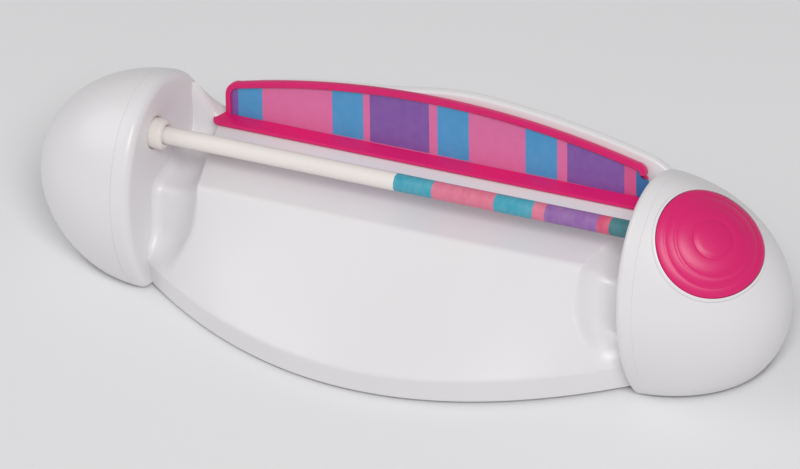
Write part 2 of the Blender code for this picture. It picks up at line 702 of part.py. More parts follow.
def make_base_plate():
    plate = extruded("base_plate", [base_outline(0.0)], STAND_OFF, BASE_TOP, WHITE)
    half_length, half_width = BAY_HALF_LENGTH + SHELL, BAY_HALF_WIDTH + SHELL
    walls = box(
        "bay_walls", (-half_length, -half_width, STAND_OFF), (half_length, half_width, BAY_TOP + SHELL)
    )
    screw_place = (COVER_SCREW_X, 0, 0)
    boss = cylinder("cover_boss", SCREW_BOSS, STAND_OFF, BASE_TOP + SCREW_LENGTH, location=screw_place)
    join(plate, walls, boss)
    bay = box("bay", (-BAY_HALF_LENGTH, -BAY_HALF_WIDTH, 0), (BAY_HALF_LENGTH, BAY_HALF_WIDTH, BAY_TOP))
    tab_room = box(
        "tab_room",
        (0, -COVER_TAB_HALF_WIDTH - GAP, 0),
        (BAY_HALF_LENGTH + COVER_TAB + GAP, COVER_TAB_HALF_WIDTH + GAP, STAND_OFF + COVER_THICKNESS + GAP),
    )
    # The captive screw swings out with the cover, so its hole is wide
    wide = cylinder("cover_pilot", 2 * SCREW_RADIUS, 0, BASE_TOP + SCREW_LENGTH - SHELL, location=screw_place)
    cut(plate, bay, tab_room, wide)
    for side in (-1, 1):
        room = box(
            f"tag_room_{side}",
            (BAY_HALF_LENGTH - SHELL, side * CELL_Y - SHELL, BAY_TOP - 2.5 * SHELL),
            (BAY_HALF_LENGTH + 2 * SHELL, side * CELL_Y + SHELL, BAY_TOP - SHELL),
        )
        cut(plate, room)
    places = screw_places() + [(-DOME_SCREW_X, 0), (DOME_SCREW_X, 0)]
    for at, (x, y) in enumerate(places, 1):
        cut(plate, screw_hole(f"plate_hole_{at}", x, y), head_recess(f"recess_{at}", x, y))
    return plate


def make_screw(name, x, y, low, length):
    """A pan head screw that points up, its head in a recess from below."""
    profile = [
        (0, low + length), (SCREW_RADIUS, low + length), (SCREW_RADIUS, low + SCREW_HEAD_HEIGHT),
        (SCREW_HEAD, low + SCREW_HEAD_HEIGHT), (SCREW_HEAD, low), (0, low),
    ]
    return turned(name, profile, STEEL, 12, location=(x, y, 0))


def make_fasteners():
    for at, (x, y) in enumerate(screw_places(), 1):
        make_screw(f"housing_screw_{at}", x, y, STAND_OFF, SCREW_LENGTH)
    make_screw("left_dome_screw", -DOME_SCREW_X, 0, STAND_OFF, SCREW_LENGTH)
    make_screw("right_dome_screw", DOME_SCREW_X, 0, STAND_OFF, SCREW_LENGTH)
    places = [(x, y) for x in (-FOOT_PAD_X, FOOT_PAD_X) for y in (-FOOT_PAD_Y, FOOT_PAD_Y)]
    for at, (x, y) in enumerate(places, 1):
        cylinder(f"rubber_foot_{at}", FOOT_PAD_RADIUS, 0, STAND_OFF - GAP, RUBBER, location=(x, y, 0))


def make_batteries():
    body_end = (CELL_LENGTH + CELL_NUB) / 2
    for number, side in ((1, -1), (2, 1)):
        shoulder = body_end - CELL_NUB
        profile = [
            (0, body_end), (CELL_RADIUS / 3, body_end), (CELL_RADIUS / 3, shoulder), (CELL_RADIUS, shoulder),
            (CELL_RADIUS, -body_end), (0, -body_end),
        ]
        # The first cell's nub points to -X and the second one's to +X
        turned(
            f"battery_cell_{number}", profile, CELL, location=(0, side * CELL_Y, CELL_Z),
            rotation=(0, side * math.radians(90), 0),
        )
        # Each spring presses the flat end, opposite the nub
        reach = body_end + GAP
        coil(
            f"cell_spring_{number}", CELL_RADIUS / 2, CONTACT_WIRE, 3, reach, reach + SPRING_ROOM - GAP,
            STEEL, location=(0, side * CELL_Y, CELL_Z), rotation=(0, -side * math.radians(90), 0),
        )


def make_contacts():
    plate_x = BAY_HALF_LENGTH - GAP
    half_height = CONTACT_HALF_HEIGHT
    box(
        "contact_link", (-plate_x, -CELL_Y - half_height, -half_height),
        (-plate_x + CONTACT, CELL_Y + half_height, half_height), BRASS, location=(0, 0, CELL_Z),
    )
    tag_low = BAY_TOP - 2 * SHELL - CELL_Z
    for name, side in (("contact_negative", 1), ("contact_positive", -1)):
        plate = box(
            name, (plate_x - CONTACT, side * CELL_Y - half_height, -half_height),
            (plate_x, side * CELL_Y + half_height, tag_low + CONTACT), BRASS, location=(0, 0, CELL_Z),
        )
        tag = box(
            name + "_tag", (plate_x - CONTACT, side * CELL_Y - SHELL / 2, tag_low),
            (plate_x + 2 * SHELL, side * CELL_Y + SHELL / 2, tag_low + CONTACT), location=(0, 0, CELL_Z),
        )
        join(plate, tag)


def make_cover():
    """The battery cover, hinged on the edge of the bay, with its captive screw."""
    low_x, high_x = GAP, 2 * BAY_HALF_LENGTH - GAP
    half_width = BAY_HALF_WIDTH - GAP
    outline = [
        (low_x, -half_width), (high_x, -half_width), (high_x, -COVER_TAB_HALF_WIDTH),
        (high_x + COVER_TAB, -COVER_TAB_HALF_WIDTH), (high_x + COVER_TAB, COVER_TAB_HALF_WIDTH),
        (high_x, COVER_TAB_HALF_WIDTH), (high_x, half_width), (low_x, half_width),
    ]
    hinge = empty("cover_hinge", (-BAY_HALF_LENGTH, 0, STAND_OFF))
    cover = extruded("battery_cover", [outline], 0.0, COVER_THICKNESS, WHITE, parent=hinge)
    screw_x = COVER_SCREW_X + BAY_HALF_LENGTH
    place = {"location": (screw_x, 0, 0), "parent": hinge}
    hole = cylinder("cover_hole", SCREW_RADIUS + GAP, -SHELL, 2 * SHELL, sides=12, **place)
    recess = cylinder("cover_recess", SCREW_HEAD + GAP, -SHELL, SCREW_HEAD_HEIGHT + GAP, sides=16, **place)
    cut(cover, hole, recess)
    screw = make_screw("cover_screw", screw_x, 0, 0.0, SCREW_LENGTH - 2 * SHELL)
    screw.parent = hinge


# Spinning pieces


def gear_outline(teeth, phase=0.0):
    """Straight sided teeth with their backlash, from the pitch circle's own sizes."""
    pitch = MODULE * teeth / 2
    levels = ((pitch - 1.15 * MODULE, 0.33), (pitch + 0.9 * MODULE, 0.13 * (1 - BACKLASH)))
    points = []
    for tooth in range(teeth):
        middle = phase + 2 * math.pi * tooth / teeth
        step = 2 * math.pi / teeth
        for radius, share in levels:
            points.append((radius, middle - share * step))
        for radius, share in reversed(levels):
            points.append((radius, middle + share * step))
    return [(radius * math.cos(angle), radius * math.sin(angle)) for radius, angle in points]


def line_angle(start, end):
    """Direction from one axis to another, in the gears' own plane once they are turned to +X."""
    step = end - start
    return math.atan2(step.y, -step.z)


def gap_at(angle, teeth):
    """A phase that puts a gap on the line to the next axis."""
    return angle + math.pi / teeth


def at_x(point, x):
    return Vector((x, point.y, point.z))


def make_drive():
    chuck_profile = [
        (0, PLATE_X + PLATE_THICKNESS - FACE_X), (STUB_RADIUS, PLATE_X + PLATE_THICKNESS - FACE_X),
        (STUB_RADIUS, CHUCK_END - FACE_X), (CHUCK_RADIUS, CHUCK_END - FACE_X), (CHUCK_RADIUS, GAP),
        (SOCKET_RADIUS, GAP), (SOCKET_RADIUS, SOCKET_DEPTH), (0, SOCKET_DEPTH),
    ]
    turned("drive_chuck", chuck_profile, NATURAL, location=at_x(SPIN, FACE_X), rotation=ALONG_X)
    bush = [
        (CHUCK_RADIUS + GAP, SHELL + GAP), (CHUCK_RADIUS + SHELL / 2 + GAP, SHELL + GAP),
        (CHUCK_RADIUS + SHELL / 2 + GAP, GAP), (CHUCK_RADIUS + GAP, GAP),
    ]
    turned("drive_bush", bush, NATURAL, ring=True, location=at_x(SPIN, FACE_X), rotation=ALONG_X)
    left, right = -FACE_X + TAIL_PROUD - SOCKET_DEPTH + GAP, FACE_X + SOCKET_DEPTH - GAP
    blank = [(BLANK_BORE, right), (BLANK_RADIUS, right), (BLANK_RADIUS, left), (BLANK_BORE, left)]
    turned("bracelet_blank", blank, SOFT_WHITE, 20, ring=True, location=SPIN, rotation=ALONG_X)
    output_phase = gap_at(line_angle(SPIN, SECOND), GEAR_TEETH)
    extruded(
        "output_gear", [gear_outline(GEAR_TEETH, output_phase), circle(CHUCK_RADIUS + GAP / 2)],
        LAYER_A, LAYER_A + GEAR_WIDTH, NATURAL, location=SPIN, rotation=ALONG_X,
    )


def make_compound(name, axis, nearer, farther, small_teeth, layer_small, layer_large):
    """A pinion and a wheel in one, the pinion driving the next axis."""
    pinion_phase = line_angle(axis, nearer)
    wheel_phase = gap_at(line_angle(axis, farther), GEAR_TEETH)
    bore = circle(AXLE_RADIUS + GAP, 12)
    gear = extruded(
        name, [gear_outline(GEAR_TEETH, wheel_phase), bore], layer_large, layer_large + GEAR_WIDTH,
        NATURAL, location=axis, rotation=ALONG_X,
    )
    pinion = extruded(
        name + "_pinion", [gear_outline(small_teeth, pinion_phase), bore],
        layer_small, layer_large + GEAR_WIDTH / 2, location=axis, rotation=ALONG_X,
    )
    return join(gear, pinion)


def make_gearbox():
    make_compound("second_gear", SECOND, SPIN, FIRST, PINION_TEETH, LAYER_A, LAYER_B)
    make_compound("first_gear", FIRST, SECOND, MOTOR, SMALL_PINION_TEETH, LAYER_B, LAYER_C)
    axle_end = PLATE_X + PLATE_THICKNESS
    for name, axis in (("second_axle", SECOND), ("first_axle", FIRST)):
        cylinder(name, AXLE_RADIUS, INNER_FACE + GAP, axle_end, STEEL, 12, location=axis, rotation=ALONG_X)
    pinion_phase = line_angle(MOTOR, FIRST)
    extruded(
        "motor_pinion", [gear_outline(SMALL_PINION_TEETH, pinion_phase), circle(AXLE_RADIUS + GAP / 3, 12)],
        LAYER_C, LAYER_C + GEAR_WIDTH, BRASS, location=MOTOR, rotation=ALONG_X,
    )
    cylinder(
        "motor_shaft", AXLE_RADIUS, LAYER_C, MOTOR_X - GAP / 3, STEEL, 12, location=MOTOR, rotation=ALONG_X
    )
    make_gearbox_plate()
    make_motor()


def plate_point(y, z):
    """A point given in the pod's own Y and Z, as the outline's own X and Y."""
    return (SPIN_Z - z, y - SPIN_Y)


POST_REACH = GEAR_RADIUS + MODULE + 2 * GEAR_SPACE + POST_RADIUS
POSTS = (
    SPIN + polar(POST_REACH, math.radians(-145)), SPIN + polar(POST_REACH, math.radians(-4)),
    FIRST + polar(POST_REACH, math.radians(-120)), MOTOR + polar(POST_REACH, math.radians(-41)),
)


def make_gearbox_plate():
    """A plate round all four posts and the motor's boss, with the three gear axes' holes."""
    rounds = [(post, POST_RADIUS + SHELL / 2) for post in POSTS]
    rounds += [(SPIN, STUB_RADIUS + SHELL), (MOTOR, MOTOR_BOSS + SHELL)]
    points = [point for at, radius in rounds for point in circle(radius, 12, plate_point(at.y, at.z))]
    outlines = [
        [points[at] for at in convex_hull_2d(points)],
        circle(STUB_RADIUS + GAP, 16, plate_point(SPIN.y, SPIN.z)),
        circle(AXLE_RADIUS + GAP / 2, 12, plate_point(SECOND.y, SECOND.z)),
        circle(AXLE_RADIUS + GAP / 2, 12, plate_point(FIRST.y, FIRST.z)),
        circle(MOTOR_BOSS, 16, plate_point(MOTOR.y, MOTOR.z)),
    ]
    plate = extruded(
        "gearbox_plate", outlines, PLATE_X, PLATE_X + PLATE_THICKNESS, NATURAL,
        location=SPIN, rotation=ALONG_X,
    )
    for at, post in enumerate(POSTS, 1):
        column = cylinder(
            f"post_{at}", POST_RADIUS, INNER_FACE + GAP, PLATE_X + PLATE_THICKNESS / 2, sides=12,
            location=post, rotation=ALONG_X,
        )
        join(plate, column)


def motor_outline():
    """A round can with two flats, its flats facing front and back."""
    top = math.asin(MOTOR_HALF_FLATS / MOTOR_RADIUS)
    angles = spaced(-top, top, 9)
    lower = [(MOTOR_RADIUS * math.cos(a), MOTOR_RADIUS * math.sin(a)) for a in angles]
    return lower + [(-x, -y) for x, y in lower]


def make_motor():
    end = MOTOR_X + MOTOR_LENGTH
    extruded("motor_can", [motor_outline()], MOTOR_X, end, STEEL, location=MOTOR, rotation=ALONG_X)
    extruded(
        "motor_end_cap", [motor_outline()], end + GAP / 2, end + MOTOR_CAP, BLACK,
        location=MOTOR, rotation=ALONG_X,
    )


def make_tail():
    """The sprung left chuck, which is pushed back to let the blank in."""
    shaft_end = -(TAIL_SPRING_LENGTH + WASHER + PLATE_THICKNESS + SHELL)
    profile = [
        (0, TAIL_BODY - SOCKET_DEPTH), (SOCKET_RADIUS, TAIL_BODY - SOCKET_DEPTH), (SOCKET_RADIUS, TAIL_BODY),
        (TAIL_RADIUS - SHELL / 4, TAIL_BODY), (TAIL_RADIUS, TAIL_BODY - SHELL / 4), (TAIL_RADIUS, 0),
        (TAIL_SHAFT, 0), (TAIL_SHAFT, shaft_end), (0, shaft_end),
    ]
    place = {"location": at_x(SPIN, TAIL_BACK), "rotation": ALONG_X}
    turned("tail_chuck", profile, SOFT_WHITE, **place)
    face = -FACE_X - TAIL_BACK
    inner, outer = TAIL_RADIUS + GAP, TAIL_RADIUS + SHELL / 2 + GAP
    bush = [
        (inner, face - GAP), (outer, face - GAP), (outer, face - SHELL - GAP),
        (outer + SHELL, face - SHELL - GAP), (outer + SHELL, face - 1.6 * SHELL), (inner, face - 1.6 * SHELL),
    ]
    turned("tail_bush", bush, NATURAL, ring=True, **place)
    washer = [
        (TAIL_SHAFT + GAP, -GAP), (TAIL_RADIUS, -GAP),
        (TAIL_RADIUS, -GAP - WASHER), (TAIL_SHAFT + GAP, -GAP - WASHER),
    ]
    turned("tail_washer", washer, NATURAL, ring=True, **place)
    spring_top = -2 * GAP - WASHER
    spring_end = spring_top - TAIL_SPRING_LENGTH
    coil("tail_spring", TAIL_SPRING_RADIUS, TAIL_WIRE, TAIL_TURNS, spring_end, spring_top, STEEL, **place)
    bracket_top = spring_end - GAP
    bracket = extruded(
        "tail_bracket", [bracket_outline(), circle(TAIL_SHAFT + GAP, 16)],
        bracket_top - PLATE_THICKNESS, bracket_top, NATURAL, **place,
    )
    reach = outer + SHELL + POST_RADIUS + GAP
    for at, angle in enumerate((-15, 195, 270), 1):
        off = polar(reach, math.radians(angle))
        post = cylinder(
            f"tail_post_{at}", POST_RADIUS, bracket_top - PLATE_THICKNESS / 2, face - SHELL - GAP, sides=12,
            location=place["location"] + off, rotation=ALONG_X,
        )
        join(bracket, post)


def bracket_outline():
    """A round nosed plate over the tail's three posts, in its own axes."""
    reach = TAIL_RADIUS + 2 * SHELL + 2 * POST_RADIUS
    angles = [math.radians(a) for a in (-25, 5, 50, 90, 130, 175, 205, 250, 290)]
    shares = (1.0, 0.9, 0.55, 0.5, 0.55, 0.9, 1.0, 1.0, 1.0)
    return [(-share * reach * math.sin(a), share * reach * math.cos(a)) for a, share in zip(angles, shares)]


# Press button and its switch, drawn square to the pod's shoulder


def button_frame():
    """The button's own axes: Z out along its travel, Y to the back of the toy."""
    normal = BUTTON_NORMAL.normalized()
    down = Vector((0, 1, 0)).cross(normal).normalized()
    back = normal.cross(down)
    turn = Matrix((down, back, normal)).transposed().to_4x4()
    return empty("button_axis", button_crown(), turn)


def make_button():
    axis = button_frame()
    cap = cylinder("button_cap", BUTTON_RADIUS, -REACH / 10, REACH / 10, MAGENTA, 40, parent=axis)
    keep(cap, pod_ellipsoid("cap_top", 1, -BUTTON_PROUD, 40))
    room = cylinder("cap_room", BUTTON_RADIUS - BUTTON_WALL, -REACH / 10, REACH / 10, sides=28, parent=axis)
    stem = cylinder("stem", STEM_RADIUS, -STEM_LENGTH, -BUTTON_WALL / 2, sides=16, parent=axis)
    seat = cylinder("bridge_seat", BRIDGE_OUTER - SHELL / 2, -BRIDGE_DEPTH + GAP, 0, sides=20, parent=axis)
    seat_room = cylinder("seat_room", BRIDGE_INNER + SHELL / 2, -REACH / 10, 0, sides=20, parent=axis)
    cut(seat, seat_room)
    keep(seat, pod_ellipsoid("seat_top", 1, BUTTON_WALL / 2, 28))
    keep(room, pod_ellipsoid("cap_underside", 1, BUTTON_WALL - BUTTON_PROUD, 28))
    cut(cap, room, pod_ellipsoid("skirt_end", 1, BUTTON_SKIRT, 28))
    for side in (-1, 1):
        notch = box(
            f"bar_notch_{side}",
            (-BAR_WIDTH / 2 - 2 * GAP, min(side * BAR_WIDTH, side * REACH), -REACH),
            (BAR_WIDTH / 2 + 2 * GAP, max(side * BAR_WIDTH, side * REACH), -BAR_DEPTH + BUTTON_TRAVEL + GAP),
            parent=axis,
        )
        cut(cap, notch)
    join(cap, stem, seat)
    make_button_ring(axis)
    make_switch(axis)
    coil(
        "button_spring", BUTTON_SPRING_RADIUS, BUTTON_WIRE, BUTTON_TURNS, -BAR_DEPTH + GAP,
        -BUTTON_WALL - GAP, STEEL, parent=axis,
    )
    return axis


def ring_outer():
    return BUTTON_RADIUS + GAP + RING_WALL


def make_button_ring(axis):
    """The thin rim round the button, with the bar inside that guides its stem."""
    ring = cylinder("button_ring", ring_outer(), -REACH / 10, REACH / 10, WHITE, 40, parent=axis)
    keep(ring, pod_ellipsoid("ring_top", 1, -RING_PROUD, 40))
    bore = cylinder("ring_bore", BUTTON_RADIUS + GAP, -REACH, REACH, sides=40, parent=axis)
    cut(ring, bore, pod_ellipsoid("ring_end", 1, RING_DEPTH, 28))
    half_length = BUTTON_RADIUS + GAP + RING_WALL / 2
    bar = box(
        "guide_bar", (-BAR_WIDTH / 2, -half_length, -BAR_DEPTH - BAR_THICKNESS),
        (BAR_WIDTH / 2, half_length, -BAR_DEPTH), parent=axis,
    )
    boss = cylinder(
        "guide_boss", STEM_RADIUS + SHELL, -BAR_DEPTH - BOSS_DEPTH, -BAR_DEPTH, sides=20, parent=axis
    )
    hole = cylinder("guide_hole", STEM_RADIUS + GAP, -REACH, -BAR_DEPTH + SHELL, sides=20, parent=axis)
    join(ring, bar, boss)
    return cut(ring, hole)


def make_switch(axis):
    """A copper washer under the cap, which bridges two fixed strips when the button is pressed home."""
    washer = [
        (BRIDGE_INNER, -BRIDGE_DEPTH), (BRIDGE_OUTER, -BRIDGE_DEPTH),
        (BRIDGE_OUTER, -BRIDGE_DEPTH - STRIP_THICKNESS), (BRIDGE_INNER, -BRIDGE_DEPTH - STRIP_THICKNESS),
    ]
    turned("switch_bridge", washer, BRASS, 20, ring=True, parent=axis)
    low = -BAR_DEPTH + GAP
    high = -BRIDGE_DEPTH - STRIP_THICKNESS - BUTTON_TRAVEL - GAP
    for number, side in ((1, -1), (2, 1)):
        ends = sorted((side * (BRIDGE_INNER + GAP), side * STRIP_END))
        strip = box(
            f"switch_contact_{number}", (-STRIP_WIDTH / 2, ends[0], low),
            (STRIP_WIDTH / 2, ends[1], low + STRIP_THICKNESS), BRASS, parent=axis,
        )
        tip_ends = sorted((side * (BRIDGE_INNER + 2 * GAP), side * (BRIDGE_OUTER - GAP)))
        tip = box(
            f"contact_tip_{number}", (-STRIP_WIDTH / 3, tip_ends[0], low + STRIP_THICKNESS / 2),
            (STRIP_WIDTH / 3, tip_ends[1], max(high, low + STRIP_THICKNESS)), parent=axis,
        )
        tag_ends = sorted((side * (STRIP_END - 1.5 * SHELL), side * STRIP_END))
        tag = box(
            f"contact_tag_{number}", (0, tag_ends[0], low),
            (BAR_WIDTH / 2 + 3 * GAP + 2 * LEAD_RADIUS, tag_ends[1], low + STRIP_THICKNESS), parent=axis,
        )
        join(strip, tip, tag)


# Card frame


def arch(inset, right_end):
    """The frame's outline, drawn in by an inset at its left end and top."""
    left = -FRAME_HALF_LENGTH + inset
    xs = spaced(left, min(right_end, FRAME_HALF_LENGTH), 25)
    top = [(x, frame_height(x) - inset) for x in reversed(xs)]
    if right_end > FRAME_HALF_LENGTH:
        top.insert(0, (right_end, frame_height(FRAME_HALF_LENGTH) - inset))
    return top


def frame_outline(inset, foot, right_end):
    left = -FRAME_HALF_LENGTH + inset
    return [(left, foot), (right_end, foot)] + arch(inset, right_end)


UPRIGHT = (math.radians(90), 0, 0)  # turns an outline's own Y to up and its own Z to the front


def make_card_frame():
    end = FRAME_HALF_LENGTH
    frame = extruded(
        "card_frame", [frame_outline(0.0, 0.0, end)], -FRAME_DEPTH, 0.0, MAGENTA,
        parent=LEAN, rotation=UPRIGHT,
    )
    rail = box(
        "rail",
        (-end - RAIL_PAST, FRAME_Y - RAIL_REACH, FRAME_Z),
        (end, FRAME_Y + FRAME_DEPTH, FRAME_Z + RAIL_HEIGHT),
    )
    join(frame, rail)
    window = extruded(
        "window", [frame_outline(LIP_WIDTH, RAIL_HEIGHT, end + SHELL)], -LIP_THICKNESS, REACH,
        parent=LEAN, rotation=UPRIGHT,
    )
    slot_low = -LIP_THICKNESS - CARD_THICKNESS - 2 * GAP
    slot = extruded(
        "card_slot", [frame_outline(LIP_WIDTH / 2, RAIL_HEIGHT - LIP_WIDTH / 2, end + SHELL)], slot_low,
        -LIP_THICKNESS / 2, parent=LEAN, rotation=UPRIGHT,
    )
    floor = box("ledge_cut", (-REACH, -REACH, -REACH), (REACH, REACH, FRAME_Z))
    cut(frame, window, slot, floor)
    join(frame, tongue("tongue_left", -1, 0.0, 2 * GAP), tongue("tongue_right", 1, 0.0, 2 * GAP))
    card_front = -LIP_THICKNESS - GAP
    card_end = end + CARD_TAB
    extruded(
        "pattern_card", [frame_outline(LIP_WIDTH / 2 + GAP, RAIL_HEIGHT - LIP_WIDTH / 2 + GAP, card_end)],
        card_front - CARD_THICKNESS, card_front, CARD, parent=LEAN, rotation=UPRIGHT,
    )


# Leads


def smooth_route(points, count):
    """Points along a smooth curve through a lead's own points."""
    route = []
    spans = len(points) - 1
    for at in range(count):
        place = spans * at / (count - 1)
        span = min(int(place), spans - 1)
        t = place - span
        p1, p2 = points[span], points[span + 1]
        p0 = points[span - 1] if span else 2 * p1 - p2
        p3 = points[span + 2] if span + 2 < len(points) else 2 * p2 - p1
        slope, bend, twist = p2 - p0, 2 * p0 - 5 * p1 + 4 * p2 - p3, 3 * p1 - p0 - 3 * p2 + p3
        route.append(0.5 * (2 * p1 + slope * t + bend * t**2 + twist * t**3))
    return route


def make_lead(name, look, points, count):
    return tube(name, smooth_route([Vector(point) for point in points], count), LEAD_RADIUS, look)


def make_leads(axis):
    """Battery to switch, switch to motor and motor back to battery, soldered end to end."""
    tag_x = BAY_HALF_LENGTH - GAP + 2 * SHELL + GAP
    tag_z = BAY_TOP - 2 * SHELL + CONTACT / 2
    cap_x = MOTOR_X + MOTOR_LENGTH + MOTOR_CAP / 2
    side_step = MOTOR_RADIUS * 0.4
    can_foot = MOTOR.z - math.sqrt(MOTOR_RADIUS**2 - side_step**2) - GAP
    under_can = MOTOR.z - MOTOR_RADIUS - 4 * LEAD_RADIUS
    hole_z = LEAD_Z - LEAD_HOLE / 4
    make_lead(
        "lead_battery_to_motor", BLACK_LEAD,
        [
            (tag_x, CELL_Y, tag_z), (tag_x + 4 * SHELL, CELL_Y, tag_z), (FACE_X - 6 * SHELL, SHELL, hole_z),
            (FACE_X, SHELL / 2, hole_z), (FACE_X + 5 * SHELL, MOTOR.y - side_step, under_can - SHELL),
            (cap_x - 3 * SHELL, MOTOR.y - side_step, under_can - SHELL),
            (cap_x, MOTOR.y - side_step, can_foot),
        ],
        26,
    )
    turn = axis.matrix_world
    beside = BAR_WIDTH / 2 + 2 * GAP + LEAD_RADIUS
    tag = -BAR_DEPTH - GAP
    back = [turn @ Vector((beside, STRIP_END - SHELL * 0.75, tag - drop)) for drop in (SHELL, 0)]
    front = [turn @ Vector((beside, SHELL * 0.75 - STRIP_END, tag - drop)) for drop in (0, SHELL)]
    flank = MOTOR.y + MOTOR_HALF_FLATS + 2 * SHELL
    make_lead(
        "lead_battery_to_switch", RED_LEAD,
        [
            (tag_x, -CELL_Y, tag_z), (tag_x + 4 * SHELL, -CELL_Y, tag_z),
            (FACE_X - 6 * SHELL, -SHELL, hole_z - SHELL),
            (FACE_X, -SHELL / 2, hole_z - SHELL), (FACE_X + 5 * SHELL, 2 * SHELL, hole_z - SHELL),
            (MOTOR_X + 2 * SHELL, flank, hole_z), (MOTOR_X + 4 * SHELL, flank + SHELL, MOTOR.z),
            *back,
        ],
        34,
    )
    flat = MOTOR.y - MOTOR_HALF_FLATS - GAP
    make_lead(
        "lead_switch_to_motor", RED_LEAD,
        [
            *front, (cap_x - 2 * SHELL, flat - 4 * SHELL, MOTOR.z + 3 * SHELL),
            (cap_x, flat - 2 * SHELL, MOTOR.z), (cap_x, flat, MOTOR.z),
        ],
        16,
    )


def main():
    ground = box("ground", (-REACH, -REACH, -REACH), (REACH, REACH, STAND_OFF))
    make_housing(ground)
    make_base_plate()
    make_dome("left_dome", -1, ground)
    right_dome = make_dome("right_dome", 1, ground)
    axis = make_button()
    hole = cylinder("button_hole", ring_outer() + GAP, -REACH / 10, REACH / 10, sides=40, parent=axis)
    cut(right_dome, hole)
    make_card_frame()
    make_drive()
    make_gearbox()
    make_tail()
    make_batteries()
    make_contacts()
    make_cover()
    make_fasteners()
    make_leads(axis)


main()
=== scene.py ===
"""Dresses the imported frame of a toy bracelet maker.

It models the smooth mouldings, the printed card, the inked blank, the springs and the stage.
Metres, +Z up, in the CAD's own frame: +X points to the pod with the press button and -Y to the user.
"""

import json
import math

import bpy
from bpy.props import FloatProperty, FloatVectorProperty, IntProperty, PointerProperty
from mathutils import Matrix, Vector


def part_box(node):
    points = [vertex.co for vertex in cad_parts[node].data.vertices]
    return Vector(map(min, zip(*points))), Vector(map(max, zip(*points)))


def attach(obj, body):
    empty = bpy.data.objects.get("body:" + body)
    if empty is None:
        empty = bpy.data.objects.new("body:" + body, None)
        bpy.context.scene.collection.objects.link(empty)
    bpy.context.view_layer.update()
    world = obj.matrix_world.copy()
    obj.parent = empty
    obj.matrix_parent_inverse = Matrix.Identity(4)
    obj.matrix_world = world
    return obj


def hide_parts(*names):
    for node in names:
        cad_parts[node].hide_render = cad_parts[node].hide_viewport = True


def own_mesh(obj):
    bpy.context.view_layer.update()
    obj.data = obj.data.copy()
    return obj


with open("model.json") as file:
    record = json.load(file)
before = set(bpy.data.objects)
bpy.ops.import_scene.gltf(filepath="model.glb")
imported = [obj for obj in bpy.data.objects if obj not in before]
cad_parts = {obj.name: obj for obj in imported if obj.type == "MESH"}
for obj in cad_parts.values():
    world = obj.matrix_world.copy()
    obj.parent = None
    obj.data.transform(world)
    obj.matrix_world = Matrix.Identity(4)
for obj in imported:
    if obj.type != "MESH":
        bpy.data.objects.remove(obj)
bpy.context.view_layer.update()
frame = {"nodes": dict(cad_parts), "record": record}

bl_info = {
    "name": "Bracelet maker",
    "version": (1, 0, 0),
    "blender": (4, 5, 0),
    "location": "3D View > Sidebar > Bracelet maker",
    "description": "Models the mouldings, print, springs and stage of a toy bracelet maker on its CAD frame",
    "category": "Object",
}

MM = 0.001
GAP = 0.3 * MM
SHELL = 2.0 * MM
ROUND_STEPS = 72  # sides of a smooth round piece

# Foot and deck, as in the CAD
FACE_X = 85.0 * MM
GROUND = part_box("housing")[0].z
FRONT_REACH = -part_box("housing")[0].y
BACK_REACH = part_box("housing")[1].y
FRONT_AT_FACE = 22.4 * MM
BACK_AT_FACE = 26.0 * MM
RIM_TOP = 9.7 * MM
CREASE = Vector((-14.0 * MM, 39.0 * MM))
LEDGE_DROP = 0.4 * MM
LEDGE_Z = CREASE.y - LEDGE_DROP
DECK_END = FACE_X + 1.4 * MM  # the deck ends inside the pods' face walls
# Edge of the dips beside the pods, in mm: height on the front panel and distance from the middle
DIP_LINE = ((11.6, 73.4), (16.3, 71.5), (21.9, 68.4), (27.2, 65.9), (32.5, 65.7), (38.0, 67.0))
DIP_START = 62.0 * MM  # nearer to the middle the deck has no dip
DIP_SPLAY = 0.25  # how fast that edge runs out towards the back on the ledge
DIP_WAY = Vector((0.42, -0.91))  # the dips are drawn in square to the crease, back and down
DIP_SOFT = (3.0 * MM, 0.7 * MM)  # how softly the dips start, on the panel and on the ledge
DIP_SOFT_TURN = (31.0 * MM, 37.5 * MM)  # heights between which that changes
DIP_FOOT = (9.0 * MM, 27.0 * MM)  # heights over which the dips grow from the rim up
DIP_BACK = (14.0 * MM, 23.0 * MM)  # depths over which they end towards the back wall
ROOF_SHIFT = 0.9  # how far the hollow's roof moves back for each step that a dip takes it down

# Hollow fillets and shoulders where the deck meets the pods
FILLET_FOOT = (RIM_TOP - 1.0 * MM, RIM_TOP + 9.0 * MM)
FILLET_TURN = (-8.0 * MM, 8.0 * MM)
FILLET_BACK = (10.0 * MM, 18.0 * MM)
SHOULDER_ACROSS = (11.0 * MM, 22.0 * MM)
SHOULDER_FOOT = 14.0 * MM
SHOULDER_INSET = 2.0 * MM  # the shoulders stay this far inside a pod's outline

# Pods: half ellipsoids behind a flat face with a rounded edge
POD = Vector((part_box("right_dome")[1].x - FACE_X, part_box("right_dome")[1].y, 40.0 * MM))
POD_CENTRE = Vector((FACE_X, 0.0, 25.0 * MM))
POD_EDGE = 6.0 * MM  # the seam's distance behind the face
POD_ROUND = 3.0 * MM

# Spindle's axis and the blank on it
SPIN = Vector((0.0, -5.0 * MM, 50.0 * MM))
BLANK_LOW, BLANK_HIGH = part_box("bracelet_blank")
BLANK_RADIUS = (BLANK_HIGH.z - BLANK_LOW.z) / 2
BLANK_BORE = 1.2 * MM
LEFT_HOLE = 5.5 * MM
RIGHT_HOLE = 6.05 * MM

